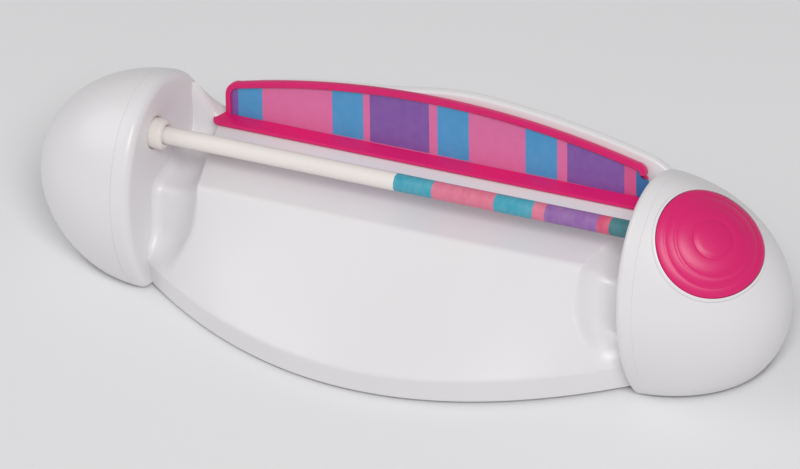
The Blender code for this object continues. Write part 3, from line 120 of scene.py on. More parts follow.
# Card frame, in axes that lean back with it
LEAN = math.radians(14.0)
FRAME_ORIGIN = Vector((0.0, 20.5 * MM, LEDGE_Z + GAP))
FRAME_HALF = 74.0 * MM
FRAME_END_HEIGHT = 11.9 * MM
FRAME_RISE = 9.5 * MM
FRAME_DEPTH = 2.8 * MM
LIP_WIDTH = 2.0 * MM
LIP_THICKNESS = 0.6 * MM
SLOT_BACK = 1.8 * MM
RAIL_TOP = 1.2 * MM
RAIL_REACH = 4.5 * MM
RAIL_PAST = 3.0 * MM
RAIL_CORNER = 2.4 * MM
CARD_FRONT = LIP_THICKNESS + GAP
CARD_BACK = CARD_FRONT + 0.6 * MM
CARD_INSET = LIP_WIDTH / 2 + GAP
CARD_END = FRAME_HALF + 0.8 * MM
TAB_HEIGHT = 7.6 * MM
END_BEND = 3.4 * MM
TONGUE_X = 46.0 * MM
TONGUE_WIDTH = 7.0 * MM
TONGUE_THICKNESS = 1.4 * MM
TONGUE_LENGTH = 3.4 * MM
WALL_THICKNESS = 2.6 * MM
WALL_END_DROP = 4.0 * MM
WALL_OVER_FRAME = 1.5 * MM
WALL_UNDER_FRAME = 2.1 * MM
WALL_STEP = (-24.0 * MM, 16.0 * MM)
WALL_LOW = (-76.0 * MM, -62.0 * MM)

# Chucks
TAIL_BACK = -91.5 * MM
TAIL_RADIUS = 5.0 * MM
TAIL_BODY = 10.5 * MM
SOCKET_RADIUS = BLANK_RADIUS + GAP / 2
SOCKET_DEPTH = 3.8 * MM
TAIL_SHAFT = 2.0 * MM
TAIL_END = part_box("tail_chuck")[0].x - TAIL_BACK

# Press button, square to the right pod's shoulder
BUTTON_RISE = math.radians(52.0)
BUTTON_TURN = math.radians(-30.0)
BUTTON_RADIUS = 17.75 * MM
BUTTON_PROUD = 0.4 * MM
BUTTON_SKIRT = 2.8 * MM
BUTTON_TRAVEL = 2.5 * MM
BUTTON_WALL = 1.8 * MM
RING_INNER = BUTTON_RADIUS + GAP / 2
RING_OUTER = RING_INNER + 0.9 * MM
RING_PROUD = 0.5 * MM
RING_DEPTH = 3.4 * MM
STEM_RADIUS = 2.4 * MM
STEM_LENGTH = 12.4 * MM
BAR_DEPTH = 9.9 * MM
BAR_THICKNESS = 1.4 * MM
BAR_WIDTH = 8.0 * MM
BOSS_DEPTH = 3.0 * MM

# Springs: radius to the wire's middle, and radius of the wire
TAIL_COIL = (3.4 * MM, 0.35 * MM)
BUTTON_COIL = (3.6 * MM, 0.3 * MM)
COIL_TURNS = 4

# Lamps: where they stand, in metres from the toy, and how wide they are
KEY_LAMP = ((0.75, -0.95, 1.4), 0.8)
FILL_LAMP = ((-1.2, -0.4, 0.95), 1.2)

# Bands on the blank, from its right end to the left: colour name and where each band ends, in mm
BLANK_BANDS = (
    ("dark_teal", 75.2), ("rose", 70.5), ("violet", 52.6), ("ink_pink", 48.3), ("teal", 34.9),
    ("ink_pink", 13.2), ("teal", 0.6), ("white", -90.0),
)
# Blocks on the card, from its left end to the right: colour name and where each block ends, in mm
CARD_BLOCKS = (
    # the first purple block, at the card's left end, is painted shade from the frame's inner edge, not print
    ("purple", -69.8), ("blue", -61.0), ("pink", -36.5), ("blue", -25.4), ("pink", -22.6), ("purple", -2.0),
    ("pink", 1.0), ("blue", 12.0), ("pink", 32.0), ("blue", 42.9), ("pink", 46.2), ("purple", 66.0),
    # the last block, the tab, is painted shade: a darker blue for the shade between the frame and the right
    # pod
    ("hot_pink", 70.4), ("shaded_tab_blue", 78.0),
)


def linear(red, green, blue):
    """A colour as Blender's shaders take it, from 8 bit sRGB values."""
    shares = [value / 255 for value in (red, green, blue)]
    return tuple(v / 12.92 if v <= 0.04 else ((v + 0.055) / 1.055) ** 2.4 for v in shares)


def colour_prop(name, description, values):
    return FloatVectorProperty(
        name=name, description=description, subtype="COLOR", size=3, min=0.0, max=1.0,
        default=linear(*values),
    )


def length_prop(name, description, millimetres):
    return FloatProperty(
        name=name, description=description, default=millimetres * MM, min=0.0, unit="LENGTH",
        subtype="DISTANCE",
    )


def power_prop(name, description, watts):
    return FloatProperty(name=name, description=description, default=watts, unit="POWER")


def angle_prop(name, description, radians):
    return FloatProperty(name=name, description=description, default=radians, unit="ROTATION")


class BraceletMakerShapes(bpy.types.PropertyGroup):
    """Sizes of the detail that the scene adds to the CAD's forms."""

    crease_radius: length_prop("Crease radius", "Rounding where the front panel turns into the ledge", 3.2)
    rim_radius: length_prop("Rim radius", "Rounding along the top of the foot's upright rim", 1.8)
    dip_depth: length_prop("Dip depth", "How deep the deck is drawn in beside the pods", 7.5)
    panel_flare: length_prop("Panel flare", "Hollow fillet between the front panel and the pods", 3.0)
    ledge_flare: length_prop("Ledge flare", "Hollow fillet between the ledge and the pods", 1.5)
    shoulder_length: length_prop("Shoulder length", "How far the shoulders reach out from the pods", 9.5)
    shoulder_rise: length_prop("Shoulder rise", "How high the shoulders stand over the ledge", 11.5)
    seam: length_prop("Seam", "Width of the line between a pod's face moulding and its dome", 0.05)
    ridge_depth: length_prop("Ridge depth", "Depth of the fine rings moulded in the press button", 0.24)
    frame_edge: length_prop("Frame edge", "Rounding of the card frame's edges", 0.45)
    frame_corner: length_prop("Frame corner", "Rounding of the card frame's upper left corner", 4.8)
    chuck_edge: length_prop("Chuck edge", "Rounding of the boss that holds the blank", 1.4)
    screw_cross: length_prop("Screw cross", "Width of the cross recess in each screw head", 0.7)
    grip_ridges: IntProperty(
        name="Grip ridges", description="Number of finger ridges on the battery cover",
        default=6, min=1, max=12,
    )


class BraceletMakerColours(bpy.types.PropertyGroup):
    """Colours of the plastics and the print."""

    shell_white: colour_prop("Shell white", "Glossy white of the mouldings", (233, 231, 233))
    magenta: colour_prop("Magenta", "Press button and card frame", (226, 26, 112))
    white: colour_prop("Bare blank", "Blank where no ink is on it", (238, 231, 227))
    pink: colour_prop("Pink", "Pink of the card", (226, 110, 166))
    hot_pink: colour_prop("Hot pink", "The card's pink stripe next to its tab", (216, 84, 142))
    blue: colour_prop("Blue", "Blue blocks of the card", (72, 154, 208))
    # painted shade: a darker blue on the card's tab, standing for the shade between the frame and the right
    # pod
    shaded_tab_blue: colour_prop("Deep blue", "The card's tab at the frame's open end", (34, 106, 166))
    # purple of the printed blocks, also used for the painted shade at the card's left end
    purple: colour_prop("Purple", "Purple blocks of the card", (130, 84, 168))
    ink_pink: colour_prop("Ink pink", "Broad pink ink bands", (222, 112, 142))
    rose: colour_prop("Rose", "Narrow ink band next to the dark one", (212, 70, 112))
    violet: colour_prop("Violet", "Violet ink band", (144, 92, 166))
    teal: colour_prop("Teal", "Light ink bands", (50, 160, 184))
    # a darker teal band at the blank's right end, beside the right pod
    dark_teal: colour_prop("Dark teal", "Ink band next to the right pod", (30, 111, 120))
    nylon: colour_prop("Nylon", "Gears, bushes and brackets inside", (222, 219, 208))
    sleeve: colour_prop("Cell sleeve", "Plain sleeve of the battery cells", (40, 96, 84))


class BraceletMakerStage(bpy.types.PropertyGroup):
    """The floor, the lamps and the camera."""

    key_power: power_prop("Key light", "Power of the large lamp", 16.6)
    fill_power: power_prop("Fill light", "Power of the soft side lamp", 5.6)
    sky: FloatProperty(
        name="Sky", description="Strength of the even light from all round", default=0.35, min=0.0,
    )
    floor: colour_prop("Floor", "Pale floor and backdrop", (236, 236, 238))
    turn: angle_prop("Camera turn", "How far right of the front the camera stands", math.radians(30.4))
    rise: angle_prop("Camera rise", "Height of the camera over the level", math.radians(39.6))
    roll: angle_prop("Camera roll", "Tilt of the picture", -0.15)
    distance: length_prop("Camera distance", "From the middle of the toy's foot to the camera", 2499.6)
    across: length_prop("Aim across", "Where the camera looks, left of the foot's middle", 6.36)
    up: length_prop("Aim up", "Where the camera looks, above the foot's middle", 18.63)
    lens: FloatProperty(name="Lens", description="Focal length in millimetres", default=352.0, min=1.0)


def shapes():
    return bpy.context.scene.bracelet_maker_shapes


def colours():
    return bpy.context.scene.bracelet_maker_colours


# Modelling helpers


def start_clean():
    """Object mode with nothing selected, as each new piece needs."""
    if bpy.context.mode != "OBJECT":
        bpy.ops.object.mode_set(mode="OBJECT")
    bpy.ops.object.select_all(action="DESELECT")


def only(piece):
    start_clean()
    piece.select_set(True)
    bpy.context.view_layer.objects.active = piece


def edit_all(piece):
    only(piece)
    bpy.ops.object.mode_set(mode="EDIT")
    bpy.ops.mesh.select_all(action="SELECT")


def tidy_mesh(piece, fill=False):
    """Merges doubles, closes open ends if asked and turns all faces outwards."""
    edit_all(piece)
    bpy.ops.mesh.remove_doubles(threshold=2e-6)
    if fill:
        bpy.ops.mesh.fill_holes(sides=0)
        bpy.ops.mesh.select_all(action="SELECT")
    bpy.ops.mesh.normals_make_consistent(inside=False)
    bpy.ops.object.mode_set(mode="OBJECT")


def placed(piece, place):
    """Writes a place into the mesh, so that the object stays at the origin."""
    only(piece)
    piece.matrix_world = place @ piece.matrix_world
    bpy.ops.object.transform_apply(location=True, rotation=True, scale=True)
    return piece


def smooth(piece, angle=35.0):
    only(piece)
    bpy.ops.object.shade_smooth_by_angle(angle=math.radians(angle))
    return piece


def joined(name, *pieces):
    start_clean()
    for piece in pieces:
        piece.select_set(True)
    bpy.context.view_layer.objects.active = pieces[0]
    bpy.ops.object.join()
    pieces[0].name = name
    return pieces[0]


def lofted(name, rows, fill=True):
    """A grid drawn onto rows of points. Rows whose ends meet close round; open ends are filled if asked."""
    start_clean()
    bpy.ops.mesh.primitive_grid_add(
        x_subdivisions=len(rows[0]) - 1, y_subdivisions=len(rows) - 1, size=1.0, location=(0, 0, 0)
    )
    piece = bpy.context.object
    piece.name = name
    points = [point for row in rows for point in row]
    for vertex, point in zip(piece.data.vertices, points, strict=True):
        vertex.co = point
    tidy_mesh(piece, fill)
    return piece


def turned(name, profile, sides=ROUND_STEPS, place=None):
    """A round piece, extruded from a circle ring by ring along a profile of (radius, height) points."""
    least = 1e-7
    start_clean()
    radius, height = max(profile[0][0], least), profile[0][1]
    bpy.ops.mesh.primitive_circle_add(vertices=sides, radius=radius, location=(0, 0, height))
    piece = bpy.context.object
    piece.name = name
    bpy.ops.object.transform_apply(location=True)
    edit_all(piece)
    for next_radius, next_height in profile[1:]:
        next_radius = max(next_radius, least)
        bpy.ops.mesh.extrude_edges_move(TRANSFORM_OT_translate={"value": (0, 0, next_height - height)})
        share = next_radius / radius
        bpy.ops.transform.resize(value=(share, share, 1), center_override=(0, 0, next_height))
        radius, height = next_radius, next_height
    tidy_mesh(piece)
    return placed(piece, place) if place else piece


def quarter(radius, top, edge, steps, first=0):
    """Points of a turned piece's rounded upper edge, from its side to its top."""
    angles = [math.pi / 2 * step / steps for step in range(first, steps + 1)]
    return [(radius - edge + edge * math.cos(a), top - edge + edge * math.sin(a)) for a in angles]


def drill(name, radius, low, high, sides, place):
    """A round cutter between two heights."""
    return turned(name, [(0, low), (radius, low), (radius, high), (0, high)], sides, place)


def standing(low, high):
    """The place of a turned piece that stands in the middle of a node's box."""
    return Matrix.Translation(Vector(((low.x + high.x) / 2, (low.y + high.y) / 2, low.z)))


def block(name, low, high, edge, place=None):
    """A block between two corners with rounded edges."""
    low, high = Vector(low), Vector(high)
    start_clean()
    bpy.ops.mesh.primitive_cube_add(size=1.0, location=(low + high) / 2, scale=high - low)
    piece = bpy.context.object
    piece.name = name
    bpy.ops.object.transform_apply(location=True, rotation=True, scale=True)
    edit_all(piece)
    bpy.ops.mesh.bevel(offset=edge, segments=3, profile=0.5, affect="EDGES")
    bpy.ops.object.mode_set(mode="OBJECT")
    return placed(piece, place) if place else piece


def applied(piece, modifier):
    only(piece)
    bpy.ops.object.modifier_apply(modifier=modifier.name)
    return piece


def cut(piece, *tools, crossing=False):
    """Takes cutters off a piece, which may cross itself in its corners, and deletes them."""
    for tool in tools:
        modifier = piece.modifiers.new("cut", "BOOLEAN")
        modifier.operation = "DIFFERENCE"
        modifier.solver = "EXACT"
        modifier.use_self = crossing
        modifier.object = tool
        applied(piece, modifier)
        bpy.data.objects.remove(tool, do_unlink=True)
    return piece


def walled(piece, thickness):
    """Gives an open shell a wall on its inner side."""
    modifier = piece.modifiers.new("wall", "SOLIDIFY")
    modifier.thickness = thickness
    modifier.offset = -1.0
    return applied(piece, modifier)


def cut_at_ground(piece, fill):
    """Takes off what lies below the mouldings' lower edge."""
    edit_all(piece)
    bpy.ops.mesh.bisect(
        plane_co=(0, 0, GROUND), plane_no=(0, 0, 1), use_fill=fill, clear_inner=True, threshold=1e-7
    )
    bpy.ops.object.mode_set(mode="OBJECT")
    return piece


def dressed(piece, look, body, slot, *nodes):
    """Gives a finished piece its material and body, and lets it stand for its CAD nodes; the slot is not used.
    """
    piece.data.materials.clear()
    piece.data.materials.append(finish(look))
    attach(piece, body)
    if nodes:
        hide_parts(*nodes)
    return piece


def spread(start, end, count):
    """Points between two others, without the first and with the last."""
    return [start.lerp(end, step / count) for step in range(1, count + 1)]


def corner(before, at, after, radius, steps):
    """The arc that rounds one corner of an outline."""
    back, on = (before - at).normalized(), (after - at).normalized()
    half = back.angle(on) / 2
    radius = min(radius, 0.45 * min((before - at).length, (after - at).length) * math.tan(half))
    centre = at + (back + on).normalized() * radius / math.sin(half)
    first = at + back * radius / math.tan(half) - centre
    last = at + on * radius / math.tan(half) - centre
    sweep = math.pi - 2 * half
    arc = []
    for step in range(steps + 1):
        share = step / steps
        turn = first * math.sin((1 - share) * sweep) + last * math.sin(share * sweep)
        arc.append(centre + turn / math.sin(sweep))
    return arc


def eased(value, low, high):
    """0 below low, 1 above high, and a soft step between."""
    share = min(max((value - low) / (high - low), 0.0), 1.0)
    return share * share * (3 - 2 * share)


# Shape of the deck, the pods and the card frame, by the CAD's formulas


def front_edge(x):
    return FRONT_REACH - (FRONT_REACH - FRONT_AT_FACE) * (x / FACE_X) ** 2


def back_edge(x):
    tuck = 1.2 * MM * eased(abs(x), FACE_X - 8 * MM, FACE_X)
    return BACK_REACH - (BACK_REACH - BACK_AT_FACE) * (x / FACE_X) ** 2 - tuck


def frame_height(x):
    return FRAME_END_HEIGHT + FRAME_RISE * (1 - (x / FRAME_HALF) ** 2)


def wall_top(x):
    """Height of the back wall, which falls to the ledge at the left and drops to the right pod."""
    past = max(min(x, FACE_X) - FRAME_HALF, 0.0) / (FACE_X - FRAME_HALF)
    over = WALL_OVER_FRAME - (WALL_OVER_FRAME + WALL_UNDER_FRAME) * (1 - eased(x, *WALL_STEP))
    top = FRAME_ORIGIN.z + (frame_height(x) + over) * math.cos(LEAN) - WALL_END_DROP * past**2
    low = LEDGE_Z + 0.06 * MM
    return low + (top - low) * eased(x, *WALL_LOW)


def wall_front(z):
    return FRAME_ORIGIN.y + (FRAME_DEPTH + GAP) / math.cos(LEAN) + (z - FRAME_ORIGIN.z) * math.tan(LEAN)


def leaning(x, depth, height):
    """A point of the card frame: depth runs back through it and height up along its lean."""
    y = FRAME_ORIGIN.y + depth * math.cos(LEAN) + height * math.sin(LEAN)
    z = FRAME_ORIGIN.z - depth * math.sin(LEAN) + height * math.cos(LEAN)
    return Vector((x, y, z))


def deck_outline(x):
    """The deck's outer section from its front foot to its back foot, with its corners rounded."""
    sizes = shapes()
    front, back, crest = front_edge(x), back_edge(x), wall_top(x)
    foot = Vector((-front, GROUND))
    rim = Vector((-front, RIM_TOP))
    ledge = Vector((wall_front(LEDGE_Z), LEDGE_Z))
    top = Vector((wall_front(crest), crest))
    behind = Vector((wall_front(crest) + WALL_THICKNESS, crest))
    back_rim = Vector((back, RIM_TOP))
    back_foot = Vector((back, GROUND))
    corners = (
        (foot, rim, CREASE, sizes.rim_radius, 3, 6),
        (rim, CREASE, ledge, sizes.crease_radius, 26, 10),
        (CREASE, ledge, top, 1.2 * MM, 30, 5),
        (ledge, top, behind, 1.0 * MM, 6, 5),
        (top, behind, back_rim, 0.9 * MM, 1, 5),
        (behind, back_rim, back_foot, 1.8 * MM, 20, 6),
    )
    path = [foot]
    for before, at, after, radius, straight, steps in corners:
        arc = corner(before, at, after, radius, steps)
        path += spread(path[-1], arc[0], straight) + arc[1:]
    return path + spread(path[-1], back_foot, 3)


def dip_edge(y, z):
    """How far from the middle the dip beside a pod starts, at a place on the deck's section."""
    for (low, first), (high, last) in zip(DIP_LINE, DIP_LINE[1:]):
        if z <= high * MM:
            share = max((z / MM - low) / (high - low), 0.0)
            return (first + (last - first) * share) * MM
    return DIP_LINE[-1][1] * MM + DIP_SPLAY * (y - CREASE.x)


def dip(x, y, z):
    """How deep the deck is drawn in beside a pod, at a place on its section."""
    edge = dip_edge(y, z)
    past = abs(x) - edge
    if past <= 0:
        return 0.0
    soft = DIP_SOFT[0] + (DIP_SOFT[1] - DIP_SOFT[0]) * eased(z, *DIP_SOFT_TURN)
    past = past**2 / (2 * soft) if past < soft else past - soft / 2
    share = min(past / (FACE_X - edge - soft / 2), 1.0)
    fade = eased(z, *DIP_FOOT) * (1 - eased(y, *DIP_BACK))
    return shapes().dip_depth * (1 - (1 - share) ** 4) * fade


def fillet(x, y, z):
    """How far the front panel and the ledge swell out in a hollow fillet to meet a pod."""
    sizes = shapes()
    panel = sizes.panel_flare * eased(z, *FILLET_FOOT)
    radius = panel + (sizes.ledge_flare - panel) * eased(y, *FILLET_TURN)
    radius *= 1 - eased(y, *FILLET_BACK)
    near = max(FACE_X - abs(x), 0.0)
    if near >= radius:
        return 0.0
    return radius - math.sqrt(radius**2 - (radius - near) ** 2)


def shoulder(x, y, z):
    """How far the deck's back edge rises beside a pod, within the outline of the pod's flat face."""
    sizes = shapes()
    near = max(FACE_X - abs(x), 0.0)
    inside = 1 - (y / (POD.y - SHOULDER_INSET)) ** 2
    if near >= sizes.shoulder_length or inside <= 0:
        return 0.0
    room = POD_CENTRE.z + (POD.z - SHOULDER_INSET) * math.sqrt(inside) - z
    along = eased(sizes.shoulder_length - near, 0.0, sizes.shoulder_length)
    across = eased(y, *SHOULDER_ACROSS) * eased(z, SHOULDER_FOOT, LEDGE_Z)
    return along * across * min(max(room, 0.0), sizes.shoulder_rise)


def outward(outline, index):
    """The direction off a section at one of its points, evened out over a few millimetres."""
    reach = 2.5 * MM
    point = outline[index]
    before = [p for p in outline[:index] if (p - point).length > reach][-1:] or outline[:1]
    after = [p for p in outline[index + 1:] if (p - point).length > reach][:1] or outline[-1:]
    along = (after[0] - before[0]).normalized()
    return Vector((-along.y, along.x))


def deck_row(x):
    """The section at one place along the deck, dipped and flared near the pods, with the hollow inside it."""
    outline = deck_outline(x)
    row = []
    for index, point in enumerate(outline):
        out = outward(outline, index)
        y, z = point + DIP_WAY * dip(x, *point) + out * fillet(x, *point)
        row.append(Vector((x, y, z + shoulder(x, *point))))
    sunk = dip(x, CREASE.x, LEDGE_Z)
    roof = LEDGE_Z - SHELL - sunk
    slope = (outline[-1].x - wall_front(wall_top(x)) - WALL_THICKNESS) / (wall_top(x) - RIM_TOP)
    hollow = (
        (back_edge(x) - SHELL, GROUND), (back_edge(x) - SHELL, RIM_TOP - SHELL / 2),
        (back_edge(x) - SHELL - slope * (roof - RIM_TOP), roof), (CREASE.x + ROOF_SHIFT * sunk, roof),
        (SHELL - front_edge(x), RIM_TOP - SHELL / 2), (SHELL - front_edge(x), GROUND),
    )
    return row + [Vector((x, y, z)) for y, z in hollow] + [row[0]]


def pod_half_axes(depth, inset=0.0):
    """Half width and half height of a pod at a depth behind its flat face."""
    swell = math.sqrt(max(1 - (depth / POD.x) ** 2, 0.0))
    drawn = 0.0
    if depth < POD_ROUND:
        drawn = POD_ROUND - math.sqrt(POD_ROUND**2 - (POD_ROUND - depth) ** 2)
    return POD.y * swell - drawn - inset, POD.z * swell - drawn - inset


def ellipse(x, half_width, half_height, centre_y=0.0, centre_z=POD_CENTRE.z, sides=2 * ROUND_STEPS):
    angles = [2 * math.pi * step / sides for step in range(sides)] + [0.0]
    return [
        Vector((x, centre_y + half_width * math.cos(a), centre_z + half_height * math.sin(a))) for a in angles
    ]


def button_axes():
    """The button's own axes: Z out along its travel, Y to the back of the toy."""
    normal = Vector(
        (
            math.cos(BUTTON_RISE) * math.cos(BUTTON_TURN), math.cos(BUTTON_RISE) * math.sin(BUTTON_TURN),
            math.sin(BUTTON_RISE),
        )
    )
    pull = Vector(axis * axis * part for axis, part in zip(POD, normal))
    scale = math.sqrt(sum((axis * part) ** 2 for axis, part in zip(POD, normal)))
    down = Vector((0, 1, 0)).cross(normal).normalized()
    turn = Matrix((down, normal.cross(down), normal)).transposed().to_4x4()
    return Matrix.Translation(POD_CENTRE + pull / scale) @ turn


def on_pod(axes, radius, angle, lift):
    """A point over the right pod's surface, at a place in the button's plane."""
    start = axes @ Vector((radius * math.cos(angle), radius * math.sin(angle), 0))
    normal = axes.to_3x3() @ Vector((0, 0, 1))
    a = Vector(v / size for v, size in zip(start - POD_CENTRE, POD))
    b = Vector(v / size for v, size in zip(normal, POD))
    reach = (-a.dot(b) + math.sqrt(a.dot(b) ** 2 - b.dot(b) * (a.dot(a) - 1))) / b.dot(b)
    return start + normal * (reach + lift)


# Shader node groups


# Kinds of socket by the length of their default, and what every group puts out
SOCKET_KINDS = {3: "NodeSocketVector", 4: "NodeSocketColor"}
OUTPUTS = {"Colour": "NodeSocketColor", "Roughness": "NodeSocketFloat", "Height": "NodeSocketFloat"}


def node_group(name, inputs, build):
    """The node group of that name, made once from its inputs' defaults and what builds its outputs."""
    if name in bpy.data.node_groups:
        return bpy.data.node_groups[name]
    tree = bpy.data.node_groups.new(name, "ShaderNodeTree")
    tree.interface.new_socket("Vector", in_out="INPUT", socket_type="NodeSocketVector")
    for label, value in inputs.items():
        kind = SOCKET_KINDS[len(value)] if isinstance(value, tuple) else "NodeSocketFloat"
        tree.interface.new_socket(label, in_out="INPUT", socket_type=kind).default_value = value
    for label, kind in OUTPUTS.items():
        tree.interface.new_socket(label, in_out="OUTPUT", socket_type=kind)
    into, out = tree.nodes.new("NodeGroupInput"), tree.nodes.new("NodeGroupOutput")
    for label, source in zip(OUTPUTS, build(tree, into.outputs)):
        tree.links.new(source, out.inputs[label])
    return tree


def noise(tree, vector, scale, detail=2.0):
    made = tree.nodes.new("ShaderNodeTexNoise")
    made.inputs["Detail"].default_value = detail
    tree.links.new(vector, made.inputs["Vector"])
    if isinstance(scale, (int, float)):
        made.inputs["Scale"].default_value = scale
    else:
        tree.links.new(scale, made.inputs["Scale"])
    return made.outputs["Fac"]


def ranged(tree, value, low, high, to_low, to_high):
    """A Map Range node, whose ends are numbers or sockets."""
    made = tree.nodes.new("ShaderNodeMapRange")
    ends = {"Value": value, "From Min": low, "From Max": high, "To Min": to_low, "To Max": to_high}
    for label, source in ends.items():
        if isinstance(source, (int, float)):
            made.inputs[label].default_value = source
        else:
            tree.links.new(source, made.inputs[label])
    return made.outputs["Result"]


def mixed(tree, share, first, second):
    """A colour between two others, each a socket or a fixed colour."""
    made = tree.nodes.new("ShaderNodeMix")
    made.data_type = "RGBA"
    for label, source in (("Factor", share), ("A", first), ("B", second)):
        socket = [s for s in made.inputs if s.name == label and (label == "Factor" or s.type == "RGBA")][0]
        if isinstance(source, bpy.types.NodeSocket):
            tree.links.new(source, socket)
        else:
            socket.default_value = source
    return [s for s in made.outputs if s.type == "RGBA"][0]


def math_node(tree, operation, first, second):
    made = tree.nodes.new("ShaderNodeMath")
    made.operation = operation
    for socket, source in zip(made.inputs, (first, second)):
        if isinstance(source, (int, float)):
            socket.default_value = source
        else:
            tree.links.new(source, socket)
    return made.outputs["Value"]


def stretched(tree, vector, by):
    made = tree.nodes.new("ShaderNodeVectorMath")
    made.operation = "MULTIPLY"
    tree.links.new(vector, made.inputs[0])
    tree.links.new(by, made.inputs[1])
    return made.outputs["Vector"]


def coordinate(tree, vector, axis):
    split = tree.nodes.new("ShaderNodeSeparateXYZ")
    tree.links.new(vector, split.inputs["Vector"])
    return split.outputs[axis]


def moulded_surface():
    """Moulded plastic: a faint cloud of a second tone, finger marks in the gloss and a fine grain."""

    def build(tree, given):
        at = given["Vector"]
        cloud = ranged(tree, noise(tree, at, given["Cloud Scale"]), 0.2, 0.8, 0.0, 1.0)
        tone = mixed(tree, cloud, given["Colour"], given["Second Tone"])
        marks = noise(tree, at, 55.0, 4.0)
        gloss = ranged(tree, marks, 0.2, 0.8, given["Gloss Low"], given["Gloss High"])
        return tone, gloss, noise(tree, at, given["Grain Scale"], 1.0)

    inputs = {
        "Colour": (0.8, 0.8, 0.8, 1), "Second Tone": (0.7, 0.7, 0.7, 1), "Cloud Scale": 18.0,
        "Grain Scale": 1600.0, "Gloss Low": 0.25, "Gloss High": 0.38,
    }
    return node_group("moulded surface", inputs, build)


def drawn_metal():
    """Rolled or drawn metal: fine lines along one direction, with duller patches."""

    def build(tree, given):
        lines = noise(tree, stretched(tree, given["Vector"], given["Stretch"]), 1.0, 3.0)
        patches = noise(tree, given["Vector"], 120.0, 3.0)
        tone = mixed(tree, ranged(tree, patches, 0.5, 0.8, 0.0, 0.6), given["Colour"], given["Tarnish"])
        gloss = ranged(tree, lines, 0.3, 0.7, given["Gloss Low"], given["Gloss High"])
        return tone, gloss, lines

    inputs = {
        "Colour": (0.6, 0.6, 0.6, 1), "Tarnish": (0.3, 0.3, 0.3, 1), "Stretch": (60, 900, 900),
        "Gloss Low": 0.22, "Gloss High": 0.45,
    }
    return node_group("drawn metal", inputs, build)


def ink_tone():
    """Uneven ink: lighter and darker streaks over a colour, and a patchy gloss."""

    def build(tree, given):
        streaks = noise(tree, stretched(tree, given["Vector"], given["Streaks"]), 1.0, 3.0)
        share = ranged(tree, streaks, 0.3, 0.75, 0.0, 1.0)
        share = math_node(tree, "MULTIPLY", share, given["Unevenness"])
        tone = mixed(tree, share, given["Colour"], (1, 1, 1, 1))
        gloss = ranged(tree, streaks, 0.3, 0.7, given["Gloss Low"], given["Gloss High"])
        return tone, gloss, streaks

    inputs = {
        "Colour": (0.5, 0.5, 0.5, 1), "Streaks": (900, 60, 60), "Unevenness": 0.12,
        "Gloss Low": 0.3, "Gloss High": 0.5,
    }
    return node_group("ink tone", inputs, build)


# Materials


def new_material(name):
    """A material with its Principled shader and an Object coordinate through a Mapping node."""
    made = bpy.data.materials.new(name)
    made.use_nodes = True
    tree = made.node_tree
    source = tree.nodes.new("ShaderNodeTexCoord")
    mapping = tree.nodes.new("ShaderNodeMapping")
    tree.links.new(source.outputs["Object"], mapping.inputs["Vector"])
    return made, tree, tree.nodes["Principled BSDF"], mapping.outputs["Vector"]


def use_group(tree, group, vector, **values):
    """Places a node group and sets its own inputs; an underscore in a name stands for a space."""
    made = tree.nodes.new("ShaderNodeGroup")
    made.node_tree = group
    tree.links.new(vector, made.inputs["Vector"])
    for name, value in values.items():
        socket = made.inputs[name.replace("_", " ")]
        if isinstance(value, bpy.types.NodeSocket):
            tree.links.new(value, socket)
        else:
            socket.default_value = value
    return made


def surface(tree, shader, made, height):
    """Leads a group's colour, roughness and height to the shader; height is in metres."""
    bump = tree.nodes.new("ShaderNodeBump")
    bump.inputs["Distance"].default_value = height
    tree.links.new(made.outputs["Height"], bump.inputs["Height"])
    tree.links.new(bump.outputs["Normal"], shader.inputs["Normal"])
    tree.links.new(made.outputs["Colour"], shader.inputs["Base Color"])
    tree.links.new(made.outputs["Roughness"], shader.inputs["Roughness"])


def shaded(colour, share):
    return tuple(v * share for v in colour) + (1.0,)


def plastic(name, colour, second, low, high, grain=1600.0, height=0.000012, coat=0.0):
    made, tree, shader, at = new_material(name)
    group = use_group(
        tree, moulded_surface(), at, Colour=(*colour, 1.0), Second_Tone=shaded(colour, second),
        Gloss_Low=low, Gloss_High=high, Grain_Scale=grain,
    )
    surface(tree, shader, group, height)
    shader.inputs["Coat Weight"].default_value = coat
    shader.inputs["Coat Roughness"].default_value = 0.12
    return made


def metal(name, colour, tarnish, stretch=(60, 900, 900)):
    made, tree, shader, at = new_material(name)
    group = use_group(
        tree, drawn_metal(), at, Colour=(*colour, 1.0), Tarnish=shaded(colour, tarnish), Stretch=stretch
    )
    surface(tree, shader, group, 0.000004)
    shader.inputs["Metallic"].default_value = 1.0
    return made


def stepped_ramp(tree, value, low, high, bands):
    """A colour ramp whose steps are bands that end at given places, in metres."""
    ramp = tree.nodes.new("ShaderNodeValToRGB")
    ramp.color_ramp.interpolation = "CONSTANT"
    tree.links.new(ranged(tree, value, low, high, 0.0, 1.0), ramp.inputs["Fac"])
    start = low
    for index, (colour, end) in enumerate(bands):
        place = (start - low) / (high - low)
        stop = ramp.color_ramp.elements[0] if index == 0 else ramp.color_ramp.elements.new(place)
        stop.position = place
        stop.color = (*colour, 1.0)
        start = end
    ramp.color_ramp.elements.remove(ramp.color_ramp.elements[-1])
    return ramp.outputs["Color"]


def along(tree, vector, axis, wobble):
    """One coordinate of a vector, made slightly uneven by noise so that printed edges aren't ruled."""
    shift = ranged(tree, noise(tree, vector, 700.0, 2.0), 0.0, 1.0, -wobble, wobble)
    return math_node(tree, "ADD", coordinate(tree, vector, axis), shift)


